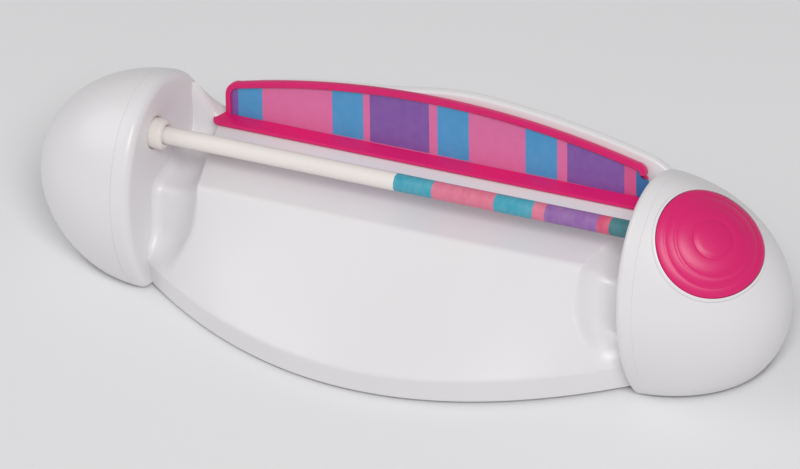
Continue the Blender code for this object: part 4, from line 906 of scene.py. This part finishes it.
def inked_blank(name):
    made, tree, shader, at = new_material(name)
    palette = colours()
    bands = []
    ends = [BLANK_HIGH.x] + [end * MM for _, end in BLANK_BANDS]
    for (colour, _), end in zip(reversed(BLANK_BANDS), reversed(ends[:-1])):
        bands.append((tuple(getattr(palette, colour)), end))
    colour = stepped_ramp(tree, along(tree, at, "X", 0.35 * MM), ends[-1], BLANK_HIGH.x, bands)
    group = use_group(tree, ink_tone(), at, Colour=colour, Unevenness=0.08, Streaks=(500, 260, 260))
    surface(tree, shader, group, 0.00001)
    return made


def printed_card(name):
    made, tree, shader, at = new_material(name)
    palette = colours()
    bands = [(tuple(getattr(palette, colour)), end * MM) for colour, end in CARD_BLOCKS]
    low = -FRAME_HALF + CARD_INSET - 0.5 * MM
    colour = stepped_ramp(tree, along(tree, at, "X", 0.08 * MM), low, CARD_END + 1 * MM, bands)
    own = tree.nodes.new("ShaderNodeUVMap")
    own.uv_map = "print"
    from_middle = math_node(tree, "SUBTRACT", coordinate(tree, own.outputs["UV"], "Y"), 0.5)
    from_middle = math_node(tree, "ABSOLUTE", from_middle, 0.0)
    margin = math_node(tree, "GREATER_THAN", from_middle, 0.445)
    printed = mixed(tree, margin, colour, (*palette.pink, 1.0))
    group = use_group(
        tree, ink_tone(), at, Colour=printed, Unevenness=0.03, Streaks=(300, 300, 300), Gloss_Low=0.35,
        Gloss_High=0.5,
    )
    surface(tree, shader, group, 0.000008)
    return made


def cell_sleeve(name, side):
    """A plain battery cell: a coloured sleeve with a pale ring, and a bare end with its nub."""
    made, tree, shader, at = new_material(name)
    steel = linear(190, 190, 192)
    bands = (
        (steel, -24.6 * MM), (tuple(colours().sleeve), 13.0 * MM), (linear(205, 205, 200), 15.0 * MM),
        (tuple(colours().sleeve), 23.6 * MM), (steel, 26.0 * MM),
    )
    place = math_node(tree, "MULTIPLY", coordinate(tree, at, "X"), float(side))
    colour = stepped_ramp(tree, place, -26.0 * MM, 26.0 * MM, bands)
    group = use_group(tree, ink_tone(), at, Colour=colour, Unevenness=0.05, Gloss_Low=0.25, Gloss_High=0.4)
    surface(tree, shader, group, 0.000004)
    bare = math_node(tree, "GREATER_THAN", place, 23.6 * MM)
    tree.links.new(bare, shader.inputs["Metallic"])
    return made


FINISHES = {
    "white_plastic": lambda name: plastic(name, colours().shell_white, 0.98, 0.3, 0.4, coat=0.12),
    "magenta_plastic": lambda name: plastic(name, colours().magenta, 0.9, 0.26, 0.4, grain=1900.0),
    "button_plastic": lambda name: plastic(name, colours().magenta, 0.92, 0.3, 0.42, height=0.00002),
    "soft_white_plastic": lambda name: plastic(name, colours().white, 0.95, 0.38, 0.5),
    "natural_nylon": lambda name: plastic(name, colours().nylon, 0.9, 0.42, 0.58, grain=1100.0),
    "grey_rubber": lambda name: plastic(
        name, linear(96, 97, 100), 0.75, 0.7, 0.9, grain=700.0, height=0.00006
    ),
    "black_plastic": lambda name: plastic(name, linear(34, 34, 36), 0.7, 0.4, 0.55),
    "red_lead": lambda name: plastic(name, linear(196, 34, 36), 0.85, 0.35, 0.5),
    "black_lead": lambda name: plastic(name, linear(32, 32, 34), 0.8, 0.35, 0.5),
    "steel": lambda name: metal(name, linear(196, 197, 200), 0.6),
    "brass": lambda name: metal(name, linear(214, 178, 100), 0.65),
    "inked_blank": inked_blank,
    "printed_card": printed_card,
    "cell_sleeve_left": lambda name: cell_sleeve(name, -1),
    "cell_sleeve_right": lambda name: cell_sleeve(name, 1),
}


def finish(name):
    """The material of that name, made the first time that it is asked for."""
    if name not in bpy.data.materials or "made_here" not in bpy.data.materials[name]:
        if name in bpy.data.materials:
            bpy.data.materials[name].name = f"{name}_cad"
        FINISHES[name](name)["made_here"] = True
    return bpy.data.materials[name]


# Pieces


class BRACELETMAKER_OT_deck(bpy.types.Operator):
    """The housing's foot, front panel, ledge and back wall in one smooth moulding with the pods' faces"""

    bl_idname = "bracelet_maker.deck"
    bl_label = "Deck and pod faces"

    def execute(self, context):
        middle, ends = 31, 56  # stations from the middle to where the dips start, and from there to the end
        half = [DIP_START * step / middle for step in range(middle)]
        half += [DIP_START + (DECK_END - DIP_START) * step / ends for step in range(ends + 1)]
        deck = lofted("housing_moulding", [deck_row(x) for x in [-x for x in half[:0:-1]] + half])
        cut(deck, tongue(-1, GAP, 2 * SHELL), tongue(1, GAP, 2 * SHELL))
        faces = [pod_face(-1, LEFT_HOLE), pod_face(1, RIGHT_HOLE)]
        housing = joined("housing_moulding", deck, *faces)
        dressed(smooth(housing, 30), "white_plastic", "base", "white_plastic", "housing")
        return {"FINISHED"}


def tongue(side, grow, above):
    """The bar under the card frame, in its slot of the ledge, or the slot's cutter if it grows by a gap."""
    across, deep = TONGUE_WIDTH / 2 + grow, TONGUE_THICKNESS / 2 + grow
    low = (side * TONGUE_X - across, FRAME_DEPTH / 2 - deep, -TONGUE_LENGTH - grow)
    high = (side * TONGUE_X + across, FRAME_DEPTH / 2 + deep, above)
    lean = Matrix.Translation(FRAME_ORIGIN) @ Matrix.Rotation(-LEAN, 4, "X")
    return block(f"tongue_{side}", low, high, 0.25 * MM, lean)


def pod_face(side, hole):
    """A pod's flat inner face with its rounded edge, back to the seam, with the spindle's hole in it."""
    back = FACE_X + SHELL
    rows = [ellipse(side * back, hole, hole, SPIN.y, SPIN.z)]
    rows.append(ellipse(side * (FACE_X + 0.5 * MM), hole, hole, SPIN.y, SPIN.z))
    rows.append(ellipse(side * FACE_X, hole + 0.4 * MM, hole + 0.4 * MM, SPIN.y, SPIN.z))
    width, height = pod_half_axes(0.0)
    for share in (0.25, 0.6, 0.9, 1.0):
        rows.append(
            ellipse(
                side * FACE_X, hole + (width - hole) * share, hole + (height - hole) * share,
                SPIN.y * (1 - share), SPIN.z + (POD_CENTRE.z - SPIN.z) * share,
            )
        )
    for step in range(1, 13):
        depth = POD_ROUND * (1 - math.cos(math.pi / 2 * step / 12))
        rows.append(ellipse(side * (FACE_X + depth), *pod_half_axes(depth)))
    for depth in (POD_ROUND + 1 * MM, POD_ROUND + 2 * MM, POD_EDGE):
        rows.append(ellipse(side * (FACE_X + depth), *pod_half_axes(depth)))
    seam = shapes().seam
    rows.append(ellipse(side * (FACE_X + POD_EDGE + seam), *pod_half_axes(POD_EDGE, seam)))
    rows.append(ellipse(side * (FACE_X + POD_EDGE + seam), *pod_half_axes(POD_EDGE, SHELL)))
    rows.append(ellipse(side * (back + SHELL), *pod_half_axes(POD_EDGE, SHELL * 1.4)))
    rows.append(ellipse(side * back, width - SHELL, height - SHELL))
    rows.append(rows[0])
    face = lofted(f"pod_face_{side}", rows, fill=False)
    return cut_at_ground(face, True)


class BRACELETMAKER_OT_domes(bpy.types.Operator):
    """The two pods' outer shells, the right one with the round opening for the press button"""

    bl_idname = "bracelet_maker.domes"
    bl_label = "Pod domes"

    def execute(self, context):
        for name, side in (("left_pod_shell", -1), ("right_pod_shell", 1)):
            first = math.asin((POD_EDGE + 2 * shapes().seam) / POD.x)
            rows = []
            for step in range(31):
                angle = first + (math.pi / 2 - first) * step / 30
                across = max(math.cos(angle), 1e-6)
                x = side * (FACE_X + POD.x * math.sin(angle))
                rows.append(ellipse(x, POD.y * across, POD.z * across))
            dome = cut_at_ground(lofted(name, rows, fill=False), False)
            walled(dome, SHELL * 0.9)
            if side > 0:
                opening = RING_OUTER + 0.05 * MM
                cut(dome, drill("opening", opening, -14 * MM, 12 * MM, 96, button_axes()))
            node = "left_dome" if side < 0 else "right_dome"
            dressed(smooth(dome, 30), "white_plastic", "base", "white_plastic", node)
        return {"FINISHED"}


class BRACELETMAKER_OT_button(bpy.types.Operator):
    """The press button with its fine moulded rings, skirt and stem, and the pale rim with its guide bar"""

    bl_idname = "bracelet_maker.button"
    bl_label = "Press button and rim"

    def execute(self, context):
        axes = button_axes()
        dressed(smooth(self.cap(axes)), "button_plastic", "button", "magenta_plastic", "button_cap")
        dressed(smooth(self.rim(axes)), "white_plastic", "base", "white_plastic", "button_ring")
        return {"FINISHED"}

    def shell(self, name, axes, profile):
        """A ring shape that follows the pod's surface, from a profile of (radius, lift) points."""
        angles = [2 * math.pi * step / 96 for step in range(96)] + [0.0]
        rings = [[on_pod(axes, radius, angle, lift) for angle in angles] for radius, lift in profile]
        return lofted(name, rings, fill=False)

    def cap(self, axes):
        edge = 0.5 * MM
        top = BUTTON_PROUD
        profile = [(BUTTON_RADIUS, top - BUTTON_SKIRT), (BUTTON_RADIUS, top - edge)]
        profile += quarter(BUTTON_RADIUS, top, edge, 5, first=1)
        depth = shapes().ridge_depth
        for share in (0.85, 0.68, 0.36):
            middle = BUTTON_RADIUS * share
            for off, low in ((0.8, 0.0), (0.35, 0.55), (0.0, 1.0), (-0.35, 0.55), (-0.8, 0.0)):
                profile.append((middle + off * MM, top - depth * low))
            profile.append((middle - 2.0 * MM, top))
        profile += [(2.0 * MM, top), (0.0, top)]
        shell = walled(self.shell("press_button", axes, profile), BUTTON_WALL)
        half, top = BAR_WIDTH / 2 + 2 * GAP, -BAR_DEPTH + BUTTON_TRAVEL + GAP
        for low, high in ((-2 * RING_OUTER, -BAR_WIDTH), (BAR_WIDTH, 2 * RING_OUTER)):
            notch = block("notch", (-half, low, -30 * MM), (half, high, top), 0.2 * MM, axes)
            cut(shell, notch, crossing=True)
        tip, foot, head = 0.4 * MM, -STEM_LENGTH, -BUTTON_WALL / 2
        profile = [(0, foot), (STEM_RADIUS - tip, foot), (STEM_RADIUS, foot + tip)]
        profile += [(STEM_RADIUS, head), (0, head)]
        stem = turned("stem", profile, 24, axes)
        return joined("press_button", shell, stem)

    def rim(self, axes):
        edge = 0.2 * MM
        nick = edge * 0.3
        profile = [
            (RING_INNER, -RING_DEPTH), (RING_INNER, RING_PROUD - edge), (RING_INNER + nick, RING_PROUD - nick),
            (RING_INNER + edge, RING_PROUD), (RING_OUTER - edge, RING_PROUD),
            (RING_OUTER - nick, RING_PROUD - nick), (RING_OUTER, RING_PROUD - edge),
            (RING_OUTER, -RING_DEPTH), (RING_INNER, -RING_DEPTH),
        ]
        rim = self.shell("button_rim", axes, profile)
        half_width, half_length = BAR_WIDTH / 2, BUTTON_RADIUS + GAP + 0.4 * MM
        top, foot, end = -BAR_DEPTH, -BAR_DEPTH - BAR_THICKNESS, -BAR_DEPTH - BOSS_DEPTH
        corners = (-half_width, -half_length, foot), (half_width, half_length, top)
        bar = block("bar", *corners, 0.3 * MM, axes)
        inner, outer = STEM_RADIUS + GAP, STEM_RADIUS + SHELL
        profile = [(inner, top), (outer, (top + foot) / 2), (outer, end), (inner, end), (inner, top)]
        boss = turned("boss", profile, 32, axes)
        hole = drill("hole", inner, -20 * MM, -8 * MM, 32, axes)
        return joined("button_rim", rim, cut(bar, hole), boss)


def along_x(x):
    """A turned piece's place on the spindle's axis, with its own Z along +X."""
    return Matrix.Translation(Vector((x, SPIN.y, SPIN.z))) @ Matrix.Rotation(math.pi / 2, 4, "Y")


class BRACELETMAKER_OT_blank(bpy.types.Operator):
    """The soft white tube that becomes the bracelet, with its right half inked in bands"""

    bl_idname = "bracelet_maker.blank"
    bl_label = "Bracelet blank"

    def execute(self, context):
        edge = 0.4 * MM
        length = BLANK_HIGH.x - BLANK_LOW.x
        profile = [(BLANK_BORE, 0), (BLANK_RADIUS - edge, 0), (BLANK_RADIUS - edge * 0.3, edge * 0.3)]
        profile += [(BLANK_RADIUS, edge + (length - 2 * edge) * step / 12) for step in range(13)]
        profile += [(BLANK_RADIUS - edge * 0.3, length - edge * 0.3), (BLANK_RADIUS - edge, length)]
        profile += [(BLANK_BORE, length), (BLANK_BORE, 0)]
        blank = turned("inked_tube", profile, 48, along_x(BLANK_LOW.x))
        dressed(smooth(blank), "inked_blank", "drive", "soft_white_plastic", "bracelet_blank")
        return {"FINISHED"}


class BRACELETMAKER_OT_chucks(bpy.types.Operator):
    """The rounded boss in the left pod that holds the blank, with its shaft"""

    bl_idname = "bracelet_maker.chucks"
    bl_label = "Left chuck"

    def execute(self, context):
        edge = shapes().chuck_edge
        lip = 0.4 * MM
        profile = [
            (0, TAIL_BODY - SOCKET_DEPTH), (SOCKET_RADIUS, TAIL_BODY - SOCKET_DEPTH),
            (SOCKET_RADIUS, TAIL_BODY - lip), (SOCKET_RADIUS + lip, TAIL_BODY),
        ]
        profile += reversed(quarter(TAIL_RADIUS, TAIL_BODY, edge, 6))
        profile += [(TAIL_RADIUS, lip), (TAIL_RADIUS - lip, 0), (TAIL_SHAFT, 0)]
        profile += [(TAIL_SHAFT, TAIL_END + lip), (TAIL_SHAFT - lip, TAIL_END), (0, TAIL_END)]
        boss = turned("left_boss", profile, 64, along_x(TAIL_BACK))
        dressed(smooth(boss), "soft_white_plastic", "tail", "soft_white_plastic", "tail_chuck")
        return {"FINISHED"}


class BRACELETMAKER_OT_card_frame(bpy.types.Operator):
    """The arched magenta frame that leans on the back wall, with its jutting rail and its tongues"""

    bl_idname = "bracelet_maker.card_frame"
    bl_label = "Card frame"

    @staticmethod
    def on_bend(x, z, radius, angle):
        return x + radius * math.cos(angle), z + radius * math.sin(angle)

    def border_place(self, step, steps, inset):
        """A point of the frame's outline, from its left foot up, round the corner and along the arch."""
        bend = shapes().frame_corner
        side, turn = 3, 8
        left = -FRAME_HALF
        arc_x = left + bend
        arc_z = frame_height(arc_x) - bend
        if step <= side:
            return left + inset, arc_z * step / side
        if step <= side + turn:
            angle = math.pi - math.pi / 2 * (step - side) / turn
            return self.on_bend(arc_x, arc_z, bend - inset, angle)
        last_x = FRAME_HALF - END_BEND
        last_z = frame_height(last_x) - END_BEND
        if step > steps - turn:
            angle = math.pi / 2 * (steps - step) / turn
            return self.on_bend(last_x, last_z, END_BEND - inset, angle)
        share = (step - side - turn) / (steps - side - 2 * turn)
        x = arc_x + (last_x - arc_x) * share
        return x, frame_height(x) - inset

    def border(self):
        edge = shapes().frame_edge
        back = LIP_WIDTH + 0.4 * MM
        wall = LIP_WIDTH / 2
        section = [
            (0, edge), (edge * 0.3, edge * 0.3), (edge, 0), (LIP_WIDTH - edge, 0),
            (LIP_WIDTH - edge * 0.3, edge * 0.3), (LIP_WIDTH, LIP_THICKNESS - 0.05 * MM),
            (wall, LIP_THICKNESS), (wall, SLOT_BACK), (back, SLOT_BACK), (back, FRAME_DEPTH),
            (edge, FRAME_DEPTH), (edge * 0.3, FRAME_DEPTH - edge * 0.3), (0, FRAME_DEPTH - edge), (0, edge),
        ]
        steps = 110
        rows = []
        for step in range(steps + 1):
            row = []
            for inset, depth in section:
                x, height = self.border_place(step, steps, inset)
                row.append(leaning(x, depth, height))
            rows.append(row)
        middle = sum(rows[-1][:-1], Vector()) / (len(section) - 1)
        for size, drop in ((0.85, 0.3 * MM), (0.5, 0.55 * MM)):
            rows.append([middle + (point - middle) * size - Vector((0, 0, drop)) for point in rows[steps]])
        return lofted("card_frame_moulding", rows)

    def back_plate(self):
        rows = []
        for step in range(49):
            x = -FRAME_HALF + 1 * MM + (2 * FRAME_HALF - 1 * MM) * step / 48
            top = min(frame_height(x) - 1.5 * MM, card_top(x))
            back = FRAME_DEPTH - 0.05 * MM
            corners = ((SLOT_BACK, 1 * MM), (SLOT_BACK, top), (back, top), (back, 1 * MM))
            rows.append([leaning(x, depth, height) for depth, height in corners + corners[:1]])
        return lofted("back_plate", rows)

    def rail(self):
        """The bottom rail: a level shelf, pointed at its left end, with the groove for the card's foot."""
        foot, top = FRAME_ORIGIN.z, FRAME_ORIGIN.z + RAIL_TOP
        back = FRAME_ORIGIN.y + FRAME_DEPTH
        groove_front, groove_back = leaning(0, LIP_THICKNESS, RAIL_TOP).y, leaning(0, SLOT_BACK, RAIL_TOP).y
        left = -FRAME_HALF - RAIL_PAST
        starts = [left + RAIL_CORNER * (1 - math.cos(math.pi / 2 * step / 8)) for step in range(9)]
        ends = [FRAME_HALF - 0.5 * MM * (1 - math.sin(math.pi / 2 * step / 4)) for step in range(5)]
        rows = []
        for x in starts + [-FRAME_HALF + 1 * MM, -FRAME_HALF + 1.05 * MM, 0.0] + ends:
            turn = max(RAIL_CORNER - (x - left), 0.0)
            front = FRAME_ORIGIN.y - RAIL_REACH + RAIL_CORNER - math.sqrt(RAIL_CORNER**2 - turn**2)
            behind = min(back, front + 0.6 * MM + (x - left) * 2.2)
            floor = top - (LIP_WIDTH / 2 if x > -FRAME_HALF + 1 * MM else 0.0)
            low, high = Vector((front, foot)), Vector((front, top))
            outline = corner(Vector((behind, foot)), low, high, 0.4 * MM, 4)
            outline += corner(low, high, Vector((behind, top)), 0.8 * MM, 6)
            for y, z in (
                (groove_front, top), (groove_front, floor), (groove_back, floor), (groove_back, top),
                (back, top), (back, foot),
            ):
                outline.append(Vector((min(y, behind), z)))
            inset = 0.5 * MM - math.sqrt(0.25 * MM**2 - max(x - FRAME_HALF + 0.5 * MM, 0.0) ** 2 + 1e-12)
            middle = Vector(((front + behind) / 2, (foot + top) / 2))
            row = []
            for point in outline:
                drawn = point + (middle - point).normalized() * max(inset, 0.0)
                row.append(Vector((x, drawn.x, drawn.y)))
            rows.append(row + row[:1])
        return lofted("rail", rows)

    def execute(self, context):
        tongues = [tongue(side, 0.0, RAIL_TOP / 2) for side in (-1, 1)]
        moulding = joined("card_frame_moulding", self.border(), self.back_plate(), self.rail(), *tongues)
        dressed(smooth(moulding), "magenta_plastic", "card_holder", "magenta_plastic", "card_frame")
        return {"FINISHED"}


def card_top(x):
    """Height of the card along its lean: under the arch, and lower where its tab leaves the frame."""
    arch = frame_height(x) - CARD_INSET
    worn = max(x - CARD_END + 1 * MM, 0.0)
    tab = TAB_HEIGHT - 1 * MM + math.sqrt(max(1 * MM**2 - worn**2, 0.0))
    return arch + (tab - arch) * eased(x, FRAME_HALF - 2.6 * MM, FRAME_HALF - 1.6 * MM)


class BRACELETMAKER_OT_card(bpy.types.Operator):
    """The printed pattern card, which slides into the frame from its open right end"""

    bl_idname = "bracelet_maker.card"
    bl_label = "Pattern card"

    def execute(self, context):
        foot = RAIL_TOP - LIP_WIDTH / 2 + GAP
        rows, heights = [], []
        left = -FRAME_HALF + CARD_INSET
        xs = [left + (FRAME_HALF - 2.6 * MM - left) * step / 60 for step in range(61)]
        xs += [FRAME_HALF - 2.2 * MM, FRAME_HALF - 1.8 * MM, FRAME_HALF - 1.2 * MM, FRAME_HALF]
        for x in xs + [CARD_END - 0.3 * MM, CARD_END]:
            top = card_top(x)
            corners = ((CARD_FRONT, foot), (CARD_FRONT, top), (CARD_BACK, top), (CARD_BACK, foot))
            rows.append([leaning(x, depth, height) for depth, height in corners + corners[:1]])
        card = lofted("printed_card", rows)
        while card.data.uv_layers:
            card.data.uv_layers.remove(card.data.uv_layers[0])
        layer = card.data.uv_layers.new(name="print")
        for loop in card.data.loops:
            point = card.data.vertices[loop.vertex_index].co
            off = point - FRAME_ORIGIN
            height = off.y * math.sin(LEAN) + off.z * math.cos(LEAN)
            top = frame_height(point.x) - CARD_INSET
            layer.data[loop.index].uv = ((point.x - left) / (CARD_END - left), (height - foot) / (top - foot))
        dressed(smooth(card), "printed_card", "card_holder", "printed_card", "pattern_card")
        return {"FINISHED"}


class BRACELETMAKER_OT_fasteners(bpy.types.Operator):
    """Screws with a cross recess, soft rubber feet and the ridges on the battery cover"""

    bl_idname = "bracelet_maker.fasteners"
    bl_label = "Screws, feet and grip"

    def execute(self, context):
        self.screws()
        self.feet()
        self.grip()
        return {"FINISHED"}

    def screws(self):
        names = [f"housing_screw_{number}" for number in (1, 2, 3, 4)]
        names += ["left_dome_screw", "right_dome_screw", "cover_screw"]
        head, height, shank = 2.7 * MM, 1.1 * MM, 1.4 * MM
        width = shapes().screw_cross
        for name in names:
            low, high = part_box(name)
            length = high.z - low.z
            profile = [
                (0, 0), (head * 0.6, 0), (head * 0.9, 0.15 * MM), (head, 0.45 * MM),
                (head, height - 0.1 * MM), (head - 0.1 * MM, height), (shank, height),
                (shank, length - 1.2 * MM), (0.3 * MM, length), (0, length),
            ]
            screw = turned(f"cross_{name}", profile, 32)
            bars = [
                block("bar", (-1.6 * MM, -width / 2, -MM), (1.6 * MM, width / 2, 0.8 * MM), 0.1 * MM),
                block("bar", (-width / 2, -1.6 * MM, -MM), (width / 2, 1.6 * MM, 0.8 * MM), 0.1 * MM),
            ]
            cut(screw, *bars)
            placed(screw, standing(low, high))
            body = "cover" if name == "cover_screw" else "base"
            dressed(smooth(screw), "steel", body, "steel", name)

    def feet(self):
        for number in (1, 2, 3, 4):
            node = f"rubber_foot_{number}"
            low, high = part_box(node)
            radius, height = (high.x - low.x) / 2, high.z - low.z
            edge = 0.5 * MM
            profile = [(0, 0.12 * MM), (radius * 0.5, 0.12 * MM), (radius * 0.56, 0), (radius - edge, 0)]
            profile += [(radius - edge * 0.3, edge * 0.3), (radius, edge), (radius, height), (0, height)]
            foot = turned(f"soft_foot_{number}", profile, 48, standing(low, high))
            dressed(smooth(foot), "grey_rubber", "base", "grey_rubber", node)

    def grip(self):
        low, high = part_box("battery_cover")
        ridges = []
        for number in range(shapes().grip_ridges):
            x = high.x - 18 * MM - number * 2.4 * MM
            half = 7.0 * MM
            ridges.append(
                block(
                    f"ridge_{number}", (x - 0.5 * MM, -half, low.z - 0.35 * MM),
                    (x + 0.5 * MM, half, low.z + 0.3 * MM), 0.24 * MM,
                )
            )
        dressed(smooth(joined("cover_grip", *ridges)), "white_plastic", "cover", "white_plastic")


def coil(name, radius, wire, turns, low, high, place):
    """A spring, made by the Screw modifier from the circle of its wire."""
    start_clean()
    bpy.ops.mesh.primitive_circle_add(
        vertices=10, radius=wire, location=(radius, 0, low + wire), rotation=(math.pi / 2, 0, 0)
    )
    piece = bpy.context.object
    piece.name = name
    bpy.ops.object.transform_apply(location=True, rotation=True, scale=True)
    screw = piece.modifiers.new("screw", "SCREW")
    screw.angle = 2 * math.pi * turns
    screw.screw_offset = high - low - 2 * wire
    screw.steps = screw.render_steps = 20 * turns
    applied(piece, screw)
    tidy_mesh(piece, fill=True)
    return placed(piece, place)


class BRACELETMAKER_OT_springs(bpy.types.Operator):
    """The spring behind the left chuck and the one under the press button"""

    bl_idname = "bracelet_maker.springs"
    bl_label = "Springs"

    def execute(self, context):
        low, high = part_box("tail_spring")
        tail = coil("tail_coil", *TAIL_COIL, COIL_TURNS, 0.0, high.x - low.x, along_x(low.x))
        dressed(smooth(tail), "steel", "base", "steel", "tail_spring")
        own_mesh(tail)
        axes = button_axes()
        foot = -BAR_DEPTH + GAP
        top = -BUTTON_WALL - GAP
        return_spring = coil("button_coil", *BUTTON_COIL, COIL_TURNS, foot, top, axes)
        dressed(smooth(return_spring), "steel", "base", "steel", "button_spring")
        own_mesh(return_spring)
        return {"FINISHED"}


class BRACELETMAKER_OT_works(bpy.types.Operator):
    """Materials for the CAD's own solids: base plate, cover, gears, motor, cells, contacts and leads"""

    bl_idname = "bracelet_maker.works"
    bl_label = "Works inside"

    def execute(self, context):
        for entry in frame["record"]["subparts"]:
            node, look = entry["node"], entry["material_slot"]
            if look == "cell_sleeve":
                look = "cell_sleeve_left" if node.endswith("1") else "cell_sleeve_right"
            mesh = frame["nodes"][node].data
            mesh.materials.clear()
            mesh.materials.append(finish(look))
        return {"FINISHED"}


class BRACELETMAKER_OT_stage(bpy.types.Operator):
    """A pale floor, soft light and the camera at the photograph's viewing angle"""

    bl_idname = "bracelet_maker.stage"
    bl_label = "Stage, light and camera"

    def execute(self, context):
        self.floor()
        self.world(context.scene)
        stage = context.scene.bracelet_maker_stage
        self.lamp("key", *KEY_LAMP, stage.key_power)
        self.lamp("fill", *FILL_LAMP, stage.fill_power)
        self.camera(context.scene)
        return {"FINISHED"}

    def floor(self):
        start_clean()
        bpy.ops.mesh.primitive_plane_add(size=6.0, location=(0, 0, 0))
        ground = bpy.context.object
        ground.name = "floor"
        made, tree, shader, at = new_material("pale_floor")
        tone = tuple(bpy.context.scene.bracelet_maker_stage.floor)
        cloud = ranged(tree, noise(tree, at, 3.0), 0.3, 0.7, 0.0, 1.0)
        tree.links.new(mixed(tree, cloud, (*tone, 1.0), shaded(tone, 0.985)), shader.inputs["Base Color"])
        shader.inputs["Roughness"].default_value = 0.85
        shader.inputs["Specular IOR Level"].default_value = 0.1
        ground.data.materials.append(made)

    def world(self, scene):
        scene.world = bpy.data.worlds.new("studio")
        scene.world.use_nodes = True
        background = scene.world.node_tree.nodes["Background"]
        background.inputs["Color"].default_value = (1.0, 0.99, 0.985, 1.0)
        background.inputs["Strength"].default_value = scene.bracelet_maker_stage.sky
        scene.view_settings.view_transform = "Standard"

    def lamp(self, name, place, size, power):
        light = bpy.data.lights.new(name, "AREA")
        light.shape = "DISK"
        light.size = size
        light.energy = power
        lamp = bpy.data.objects.new(name, light)
        lamp.location = place
        lamp.rotation_euler = Vector(place).to_track_quat("Z", "Y").to_euler()
        bpy.context.scene.collection.objects.link(lamp)

    def camera(self, scene):
        stage = scene.bracelet_maker_stage
        turn, rise, roll = stage.turn, stage.rise, stage.roll
        out = Vector((math.sin(turn) * math.cos(rise), -math.cos(turn) * math.cos(rise), math.sin(rise)))
        level = Vector((math.cos(turn), math.sin(turn), 0))
        upright = out.cross(level)
        right = level * math.cos(roll) + upright * math.sin(roll)
        up = upright * math.cos(roll) - level * math.sin(roll)
        aim = up * stage.up - right * stage.across
        view = bpy.data.cameras.new("camera")
        view.lens = stage.lens
        view.clip_end = 20.0
        camera = bpy.data.objects.new("camera", view)
        place = out * stage.distance
        back = (place - aim).normalized()
        side = up.cross(back).normalized()
        turned_to = Matrix((side, back.cross(side), back)).transposed().to_4x4()
        camera.matrix_world = Matrix.Translation(place) @ turned_to
        scene.collection.objects.link(camera)
        scene.camera = camera


OPERATORS = (
    BRACELETMAKER_OT_works,
    BRACELETMAKER_OT_deck,
    BRACELETMAKER_OT_domes,
    BRACELETMAKER_OT_button,
    BRACELETMAKER_OT_blank,
    BRACELETMAKER_OT_chucks,
    BRACELETMAKER_OT_card_frame,
    BRACELETMAKER_OT_card,
    BRACELETMAKER_OT_fasteners,
    BRACELETMAKER_OT_springs,
    BRACELETMAKER_OT_stage,
)


class BRACELETMAKER_PT_panel(bpy.types.Panel):
    """Lists the pieces and their sizes in the sidebar"""

    bl_idname = "BRACELETMAKER_PT_panel"
    bl_label = "Bracelet maker"
    bl_space_type = "VIEW_3D"
    bl_region_type = "UI"
    bl_category = "Bracelet maker"

    def draw(self, context):
        for title, group in (
            ("Shapes", context.scene.bracelet_maker_shapes),
            ("Colours", context.scene.bracelet_maker_colours),
            ("Stage", context.scene.bracelet_maker_stage),
        ):
            box = self.layout.box()
            box.label(text=title)
            for name in group.bl_rna.properties.keys():
                if name not in ("rna_type", "name"):
                    box.prop(group, name)
        for operator in OPERATORS:
            self.layout.operator(operator.bl_idname)


GROUPS = {
    "bracelet_maker_shapes": BraceletMakerShapes,
    "bracelet_maker_colours": BraceletMakerColours,
    "bracelet_maker_stage": BraceletMakerStage,
}


def register():
    for name, group in GROUPS.items():
        bpy.utils.register_class(group)
        setattr(bpy.types.Scene, name, PointerProperty(type=group))
    for kind in OPERATORS + (BRACELETMAKER_PT_panel,):
        bpy.utils.register_class(kind)


def unregister():
    for kind in reversed(OPERATORS + (BRACELETMAKER_PT_panel,)):
        bpy.utils.unregister_class(kind)
    for name, group in GROUPS.items():
        delattr(bpy.types.Scene, name)
        bpy.utils.unregister_class(group)


def main():
    register()
    for operator in OPERATORS:
        step = operator.bl_idname.split(".")[1]
        getattr(bpy.ops.bracelet_maker, step)()


if __name__ == "__main__":
    main()
